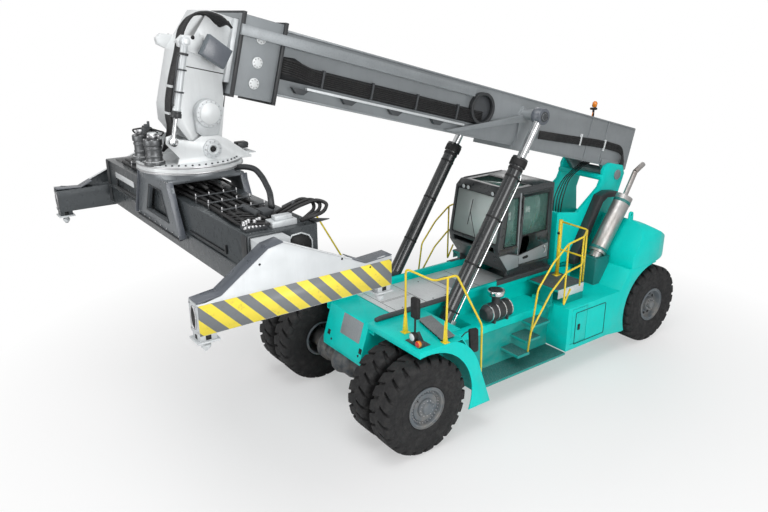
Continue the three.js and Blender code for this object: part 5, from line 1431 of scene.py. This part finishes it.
def pane(name, outline, normal, material, body):
    """A sheet of glass with a rubber seal round its edge."""
    normal = Vector(normal).normalized()
    outline = [Vector(c) for c in outline]
    glass = site()
    glass.skin([glass.ring([c + normal * h for c in outline]) for h in (0.0, PANE)])
    piece(name, glass, body, material)
    seal = site()
    path = rounded(outline + [outline[0], outline[0].lerp(outline[1], 0.1)], 0.04, 3)
    seal.tube([p + normal * (PANE + 0.002) for p in path], 0.010, 8)
    piece(name + "_seal", seal, body, SEAL_AND_HOLE_SHADE)


def screen_x(z):
    """Outer face of the leaning windscreen."""
    return -2.81 - 0.158 * (z - 2.52)


def rectangle(first, low, second, high):
    """Its four corners, in a plane of its own."""
    return [(first, low), (second, low), (second, high), (first, high)]


def make_cab_glass():
    pane("door_glass", [(x, 0.655, z) for x, z in rectangle(-4.14, 2.645, -3.46, 3.405)], (0, 1, 0),
         GREEN_GLASS, DOOR)
    pane("quarter_glass", [(-3.32, 0.655, 2.485), (-2.99, 0.655, 2.485), (-3.065, 0.655, 3.425),
                           (-3.32, 0.655, 3.425)], (0, 1, 0), GREEN_GLASS, CAB)
    pane("right_glass", [(x, -0.655, z) for x, z in rectangle(-4.21, 2.565, -3.065, 3.425)], (0, -1, 0),
         GREEN_GLASS, CAB)
    pane("windscreen", [(screen_x(z) - 0.022, y, z) for y, z in rectangle(-0.615, 2.565, 0.615, 3.425)],
         (0.9877, 0, 0.156), SCREEN, CAB)
    pane("rear_glass", [(-4.250, y, z) for y, z in rectangle(-0.585, 2.645, 0.585, 3.425)], (-1, 0, 0),
         GREEN_GLASS, CAB)
    pane("roof_glass", [(x, y, 3.556) for x, y in rectangle(-3.695, -0.515, -3.205, 0.515)], (0, 0, 1),
         GREEN_GLASS, CAB)


def make_cab_outside():
    sill, black, posts = several(3, site)
    for way in BOTH:
        low, high = way * CAB_SKIN, way * PANEL_SKIN
        rear = -4.265 if way < 0 else -3.385
        step = 2.37 if way < 0 else 2.26
        sill.prism([(-2.86, 2.345), (-3.10, 2.345), (-3.385, 2.262), (rear, step), (rear, 2.04),
                    (-3.10, 2.02)], "xz", low, high)
        black.prism([(-3.345, 2.30), (-3.345, 2.47), (-2.84, 2.47), (-2.84, 2.37), (-3.09, 2.36)], "xz", low,
                    high)
        posts.block(-3.372, -3.338, low, high, 2.29, 3.50)
    piece("cab_sill_panels", sill, CAB, CAB_GREY, 0.006)
    piece("cab_lower_panels", black, CAB, GLOSS_BLACK, 0.004)
    piece("cab_door_posts", posts, CAB, CAB_GREY, 0.004)
    skirt = site()
    skirt.prism([(-3.395, 2.262), (-4.205, 2.375), (-4.205, 2.085), (-3.395, 2.085)], "xz",
                CAB_SKIN, PANEL_SKIN)
    piece("door_lower_panel", skirt, DOOR, CAB_GREY, 0.004)
    frame_bars = site()
    outer = [(-4.205, 3.47), (-3.395, 3.47), (-3.395, 2.28), (-4.205, 2.39)]
    inner = [(-4.150, 3.415), (-3.450, 3.415), (-3.450, 2.635), (-4.150, 2.635)]
    for i in range(4):
        j = (i + 1) % 4
        frame_bars.prism([outer[i], outer[j], inner[j], inner[i]], "xz", CAB_SKIN, DOOR_SKIN)
    piece("door_frame", frame_bars, DOOR, CAB_DARK, 0.002)
    recess = site()
    recess.prism([(-3.66, 2.20), (-3.62, 2.235), (-3.50, 2.22), (-3.49, 2.19), (-3.52, 2.17), (-3.63, 2.17)],
                 "xz", DOOR_SKIN, 0.688)
    piece("door_grip_recess", recess, DOOR, SEAL_AND_HOLE_SHADE, 0.002)
    lock = site()
    lock.lathe([(0.0, 0.030), (0.024, 0.028), (0.034, 0.020), (0.036, 0.0), (0.0, 0.0)],
               (-4.11, PANEL_SKIN, 2.31), "y", 24)
    lock.tube(rounded([(-4.11, 0.70, 2.31), (-4.11, 0.72, 2.24), (-4.06, 0.72, 2.20)], 0.02, 3), 0.008, 8)
    piece("door_lock", lock, DOOR, STEEL, 0.001)
    hinge = site()
    for z in (2.35, 2.95, 3.35):
        hinge.rod((-3.38, 0.685, z - 0.045), (-3.38, 0.685, z + 0.045), 0.013, 14)
    piece("door_hinge_pins", hinge, DOOR, SEAL_AND_HOLE_SHADE, 0.001)
    roof = site()
    for x0, x1, y in ((-4.24, -3.73, 0.64), (-3.14, -3.09, 0.60)):
        roof.block(x0, x1, -y, y, 3.578, 3.586)
    for way in BOTH:
        roof.tube(rounded([(-4.20, way * 0.66, 3.585), (-3.12, way * 0.66, 3.585),
                           (-2.985, way * 0.64, 3.50)], 0.08, 4), 0.012, 8)
    piece("cab_roof_trim", roof, CAB, CAB_DARK, 0.003)
    lamps, glass = several(2, site)
    for y in (-0.46, -0.33, 0.33, 0.46):
        lamps.lathe([(0.0, -0.05), (0.035, -0.045), (0.045, -0.01), (0.046, 0.0), (0.0, 0.0)],
                    (-2.955, y, 3.475), "x", 22)
        glass.lathe([(0.0, 0.006), (0.030, 0.004), (0.040, 0.0), (0.0, 0.0)], (-2.955, y, 3.475), "x", 22)
    piece("visor_lamps", lamps, CAB, SEAL_AND_HOLE_SHADE, 0.002)
    piece("visor_lamp_glasses", glass, CAB, LAMP)
    wiper = site()
    wiper.rod((screen_x(2.50) + 0.006, 0.10, 2.535), (screen_x(2.50) + 0.030, 0.10, 2.545), 0.020, 16)
    wiper.tube([(screen_x(2.54) + 0.026, 0.10, 2.54), (screen_x(3.05) + 0.022, -0.16, 3.05)], 0.006, 8)
    wiper.tube([(screen_x(2.78) + 0.014, -0.19, 2.78), (screen_x(3.28) + 0.014, -0.14, 3.28)], 0.006, 8)
    piece("wiper", wiper, CAB, SEAL_AND_HOLE_SHADE)
    rails = site()
    for way in BOTH:
        rails.block(-4.30, -2.85, way * 0.640, way * 0.720, 1.872, 1.885)
        rails.block(-4.30, -2.80, way * 0.700, way * 0.722, 1.790, 1.885)
        for x in (-3.95, -3.35):
            rails.block(x - 0.10, x + 0.10, way * 0.700, way * 0.728, 1.84, 1.892)
    piece("cab_rail_caps", rails, CHASSIS, CHARCOAL, 0.004)


def make_cab_inside():
    seat = site()
    seat.prism([(-4.01, 2.50), (-4.09, 3.10), (-4.06, 3.16), (-3.99, 3.15), (-3.94, 2.52)], "xz", -0.22, 0.22)
    piece("seat_back_cover", seat, CAB, CLOTH, 0.03)
    head = site()
    head.prism([(-4.09, 3.18), (-4.09, 3.33), (-4.06, 3.36), (-4.02, 3.35), (-4.00, 3.20)], "xz", -0.13, 0.13)
    piece("head_rest", head, CAB, CLOTH, 0.02)
    rests = site()
    for way in BOTH:
        rests.prism([(-3.98, 2.60), (-3.99, 2.69), (-3.62, 2.69), (-3.55, 2.66), (-3.55, 2.62)], "xz",
                    way * 0.27, way * 0.36)
    piece("arm_rests", rests, CAB, PLASTIC, 0.02)
    sticks = site()
    for way in BOTH:
        sticks.tube([(-3.60, way * 0.315, 2.685), (-3.59, way * 0.315, 2.75)], 0.010, 10)
        sticks.lathe([(0.0, 0.10), (0.018, 0.095), (0.026, 0.07), (0.020, 0.03), (0.015, 0.0), (0.0, 0.0)],
                     (-3.59, way * 0.315, 2.75), "z", 18)
    piece("joysticks", sticks, CAB, SEAL_AND_HOLE_SHADE)
    console = site()
    console.prism([(-3.06, 2.42), (-3.10, 2.60), (-3.05, 2.74), (-3.00, 2.74), (-2.93, 2.44)], "xz", 0.32,
                  0.56)
    console.prism([(-3.12, 2.62), (-3.16, 2.86), (-3.135, 2.87), (-3.09, 2.63)], "xz", -0.52, -0.26)
    console.tube([(-3.08, -0.39, 2.44), (-3.10, -0.39, 2.70)], 0.014, 10)
    piece("cab_console", console, CAB, PLASTIC, 0.012)
    screen = site()
    screen.prism([(-3.131, 2.65), (-3.163, 2.845), (-3.169, 2.844), (-3.137, 2.649)], "xz", -0.50, -0.28)
    piece("console_screen", screen, CAB, GLOSS_BLACK)


def make_cushion():
    """Seat cushion: a crowned pad with a rolled front edge and piped seams."""
    low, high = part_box("seat_cushion")
    shape = Shape()
    cells, rows = 20, []
    for i in range(cells + 1):
        row = []
        for j in range(cells + 1):
            u, v = i / cells, j / cells
            edge = min(1.0, 5.5 * min(u, 1 - u)) ** 0.45 * min(1.0, 5.5 * min(v, 1 - v)) ** 0.45
            crown = 1 - 0.30 * (2 * v - 1) ** 2 - 0.12 * (2 * u - 1) ** 2
            seam = 0.006 * (math.exp(-((v - 0.24) / 0.02) ** 2) + math.exp(-((v - 0.76) / 0.02) ** 2))
            height = (high[2] - low[2]) * (0.30 + 0.70 * edge * crown) - seam * edge
            row.append((low[0] + (high[0] - low[0]) * u, low[1] + (high[1] - low[1]) * v, low[2] + height))
        rows.append(row)
    tops = [shape.ring(row) for row in rows]
    for a, b in zip(tops, tops[1:]):
        for j in range(cells):
            shape.mesh.faces.new((a[j], a[j + 1], b[j + 1], b[j]))
    rim = [tops[0][j] for j in range(cells)] + [tops[i][cells] for i in range(cells)]
    rim += [tops[cells][cells - j] for j in range(cells)] + [tops[cells - i][0] for i in range(cells)]
    base = shape.ring([(p.co.x, p.co.y, low[2]) for p in rim])
    for k in range(len(rim)):
        n = (k + 1) % len(rim)
        shape.mesh.faces.new((rim[k], rim[n], base[n], base[k]))
    shape.mesh.faces.new(base)
    cushion = piece("seat_pad", shape, BODY_OF["seat_cushion"], CLOTH, 0.0, 60, ("seat_cushion",))


# ---------------------------------------------------------------- cylinders, rear deck and engine side
FOOT = Vector((-1.08, 0, 1.05))
LIFT_TOP = Vector((-3.51, 0, 4.92))
LIFT_LINE = (LIFT_TOP - FOOT).normalized()
LIFT_BACK = Vector((-LIFT_LINE.z, 0, LIFT_LINE.x))


def make_lift_details(side, way):
    body = BODY_OF["lift_barrel_" + side]
    centre = Vector((0, way * 0.868, 0))

    def on_barrel(along, back=0.0, out=0.0):
        return FOOT + centre + LIFT_LINE * along + LIFT_BACK * back + Vector((0, way * out, 0))

    pipe, clamps = several(2, site)
    pipe.tube(rounded([on_barrel(0.42, 0.10, 0.04), on_barrel(0.46, 0.165, 0.06),
                       on_barrel(3.42, 0.165, 0.06), on_barrel(3.52, 0.12, 0.04)], 0.05, 4), 0.020, 12)
    piece("lift_pipe_" + side, pipe, body, CHROME)
    for along in (0.75, 1.65, 2.55, 3.35):
        start = on_barrel(along)
        clamps.rod(start, start + LIFT_LINE * 0.035, 0.130, 36)
        middle = on_barrel(along, 0.165, 0.06)
        clamps.rod(middle, middle + LIFT_LINE * 0.035, 0.032, 14)
        clamps.bolts([on_barrel(along + 0.018, 0.14, 0.11)], (0, way, 0), 0.010, 0.02)
    for along, length, radius in ((3.50, 0.05, 0.135), (3.58, 0.12, 0.152), (3.715, 0.018, 0.140)):
        start = on_barrel(along)
        clamps.rod(start, start + LIFT_LINE * length, radius, 40)
    piece("lift_clamps_" + side, clamps, body, SEAL_AND_HOLE_SHADE, 0.003)
    valve = site()
    outline = rectangle(0.30, 0.10, 0.62, 0.22)
    valve.skin([valve.ring([on_barrel(a, b, c) for a, b in outline]) for c in (-0.06, 0.08)])
    piece("lift_valve_" + side, valve, body, STEEL, 0.006)
    hoses = site()
    for k in range(3):
        start = on_barrel(0.36 + 0.07 * k, 0.215, 0.03)
        hoses.tube(rounded([start, start + LIFT_BACK * 0.07 + Vector((0, 0, 0.02)),
                            start + LIFT_BACK * 0.15 + Vector((0, way * 0.02, -0.10)),
                            start + LIFT_BACK * 0.16 + Vector((0, -way * 0.02, -0.22))], 0.05, 4), 0.014, 8)
    piece("lift_hoses_" + side, hoses, body, HOSE)
    eye, hub = several(2, site)
    place = LIFT_TOP + centre
    for out in (-1, 1):
        eye.lathe([(0.0, out * 0.098), (0.140, out * 0.098), (0.146, out * 0.090), (0.146, 0.0), (0.0, 0.0)],
                  place, "y", 40)
    hub.lathe([(0.0, 0.110), (0.062, 0.110), (0.070, 0.100), (0.070, 0.05), (0.0, 0.05)],
              place if way > 0 else place - Vector((0, 0.16, 0)), "y", 28)
    piece("lift_eye_" + side, eye, BODY_OF["lift_rod_" + side], SLATE, 0.004)
    piece("lift_eye_pin_" + side, hub, BODY_OF["outer_boom"], BOOM_GREY, 0.003)


AIR_CLEANER = (1.12, 1.54)    # its axis, across and up


def make_air_cleaner():
    bands = site()
    for x in (-2.66, -2.50, -2.33, -2.18):
        bands.rod((x - 0.012, *AIR_CLEANER), (x + 0.012, *AIR_CLEANER), 0.176, 44)
    bands.lathe([(0.100, 0.0), (0.150, 0.0), (0.158, 0.02), (0.158, 0.075), (0.150, 0.09), (0.100, 0.09),
                 (0.100, 0.0)],
                (-2.38, AIR_CLEANER[0], 1.86), "z", 36)
    piece("air_cleaner_bands", bands, CHASSIS, CHROME, 0.002)
    legs = site()
    for x in (-2.58, -2.26):
        legs.block(x - 0.02, x + 0.02, 0.99, 1.25, 1.355, 1.42)
    legs.lathe([(0.0, 0.02), (0.10, 0.02), (0.12, 0.0), (0.12, -0.02), (0.0, -0.02)], (-2.09, *AIR_CLEANER),
               "x", 36)
    piece("air_cleaner_feet", legs, CHASSIS, DARK, 0.003)


def make_exhaust_trim():
    low, high = Vector((-5.36, 1.0, 2.02)), Vector((-6.10, 1.0, 3.08))
    along = (high - low).normalized()
    straps = site()
    for t in (0.06, 0.90):
        middle = low.lerp(high, t)
        straps.rod(middle - along * 0.03, middle + along * 0.03, 0.180, 44)
    piece("muffler_straps", straps, CHASSIS, TEAL, 0.002)
    box = site()
    box.block(-5.549, -5.116, 0.826, 1.174, 1.405, 1.955)
    piece("muffler_base", box, CHASSIS, TEAL, 0.006)
    lip = site()
    lip.block(-5.556, -5.109, 0.819, 1.181, 1.935, 1.965)
    piece("muffler_base_lip", lip, CHASSIS, TEAL, 0.003)


def make_rear_deck():
    plates = site()
    for x0, x1, y1, z in ((-2.77, -2.47, 1.66, 0.80), (-3.13, -2.72, 1.59, 1.00), (-3.44, -3.02, 1.52, 1.20)):
        for way in BOTH:
            plates.block(x0 + 0.01, x1 - 0.01, way * 1.21, way * (y1 - 0.01), z + 0.001, z + 0.006)
    piece("tread_plates", plates, CHASSIS, DECK, 0.001)
    top, edge = several(2, site)
    for way in BOTH:
        top.block(-4.41, -3.65, way * 0.77, way * 1.47, 1.741, 1.747)
        edge.block(-4.39, -3.66, way * 1.476, way * 1.484, 1.56, 1.735)
    piece("platform_plates", top, CHASSIS, WALKED, 0.001)
    piece("platform_sides", edge, CHASSIS, PALE, 0.002)
    hatch = site()
    for way in BOTH:
        seam = [(-4.86, 0.62), (-3.97, 0.62), (-3.97, 1.27), (-4.86, 1.27)]
        hatch.tube(rounded([(x, way * 1.702, z) for x, z in seam + seam[:2]], 0.03, 3), 0.007, 6)
    piece("hatch_seams", hatch, CHASSIS, SEAL_AND_HOLE_SHADE)
    for side, way in SIDES.items():
        catch = site()
        catch.block(-4.10, -4.04, way * 1.701, way * 1.716, 0.90, 1.02)
        piece("hatch_catch_" + side, catch, BODY_OF["box_hatch_" + side], SEAL_AND_HOLE_SHADE, 0.004)
    deck = site()
    for way in BOTH:
        deck.block(-3.73, -1.42, way * 1.215, way * 1.690, 0.501, 0.506)
    piece("walkway_plates", deck, CHASSIS, DECK, 0.001)
    stalk = site()
    low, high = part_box("beacon")
    x, y = (low[0] + high[0]) / 2 - AXLE_X, (low[1] + high[1]) / 2
    stalk.rod((x, y, low[2] + 0.01), (x, y, high[2] - 0.16), 0.022, 14)
    stalk.rod((x, y, high[2] - 0.17), (x, y, high[2] - 0.135), 0.072, 28)
    piece("beacon_stalk", stalk, BODY_OF["beacon"], SEAL_AND_HOLE_SHADE, 0.002)


def make_tower_hoses():
    hoses = site()
    for k in range(4):
        y = -0.09 + 0.06 * k
        hoses.tube(rounded([(-5.22, y, 2.48), (-5.20 - 0.02 * k, y, 2.95), (-5.42, y, 3.32 + 0.02 * k),
                            (-5.86, y, 3.56 + 0.015 * k), (-6.25, y, 3.68)], 0.16, 5), 0.011, 8)
    piece("tower_hoses", hoses, CHASSIS, HOSE,
          bends=(CHASSIS, "boom", at(-5.25, 0.0, 2.9), at(-6.05, 0.0, 3.62)))


def make_deck_seams():
    """Joints, lifting holes, a lid and screws on the pale front deck."""
    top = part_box("deck_plates")[1][2]
    seams = site()
    for x in (-0.62, -1.30, -1.98, -2.60):
        seams.block(x - 0.004, x + 0.004, -0.56, 0.56, top, top + 0.0015)
    for y in (-0.02, 0.02):
        seams.block(-1.30, -0.62, y - 0.003, y + 0.003, top, top + 0.0015)
    # The lifting holes are flat black discs: painted shade inside them.
    for x in (-0.80, -1.14, -1.50, -1.80):
        for y in (-0.40, 0.40):
            seams.rod((x, y, top), (x, y, top + 0.0015), 0.016, 14)
    piece("deck_seams", seams, CHASSIS, SEAL_AND_HOLE_SHADE)
    lid = site()
    lid.block(-2.45, -2.10, -0.30, 0.30, top, top + 0.010)
    lid.tube(rounded([(-2.30, -0.10, top + 0.008), (-2.30, -0.10, top + 0.040), (-2.30, 0.10, top + 0.040),
                      (-2.30, 0.10, top + 0.008)], 0.015, 3), 0.006, 8)
    piece("deck_lid", lid, CHASSIS, CAB_GREY, 0.003)
    screws = site()
    for x in (-0.56, -1.24, -1.92, -2.54):
        for y in (-0.50, -0.25, 0.25, 0.50):
            screws.rod((x, y, top), (x, y, top + 0.006), 0.010, 6)
    piece("deck_screws", screws, CHASSIS, STEEL)


WALKED = chequer("platform_plate", "grey_paint", srgb("4A4E50"))
make_cab_glass()
make_cab_outside()
make_cab_inside()
make_cushion()
for side, way in SIDES.items():
    make_lift_details(side, way)
make_air_cleaner()
make_exhaust_trim()
make_rear_deck()
make_tower_hoses()
make_deck_seams()
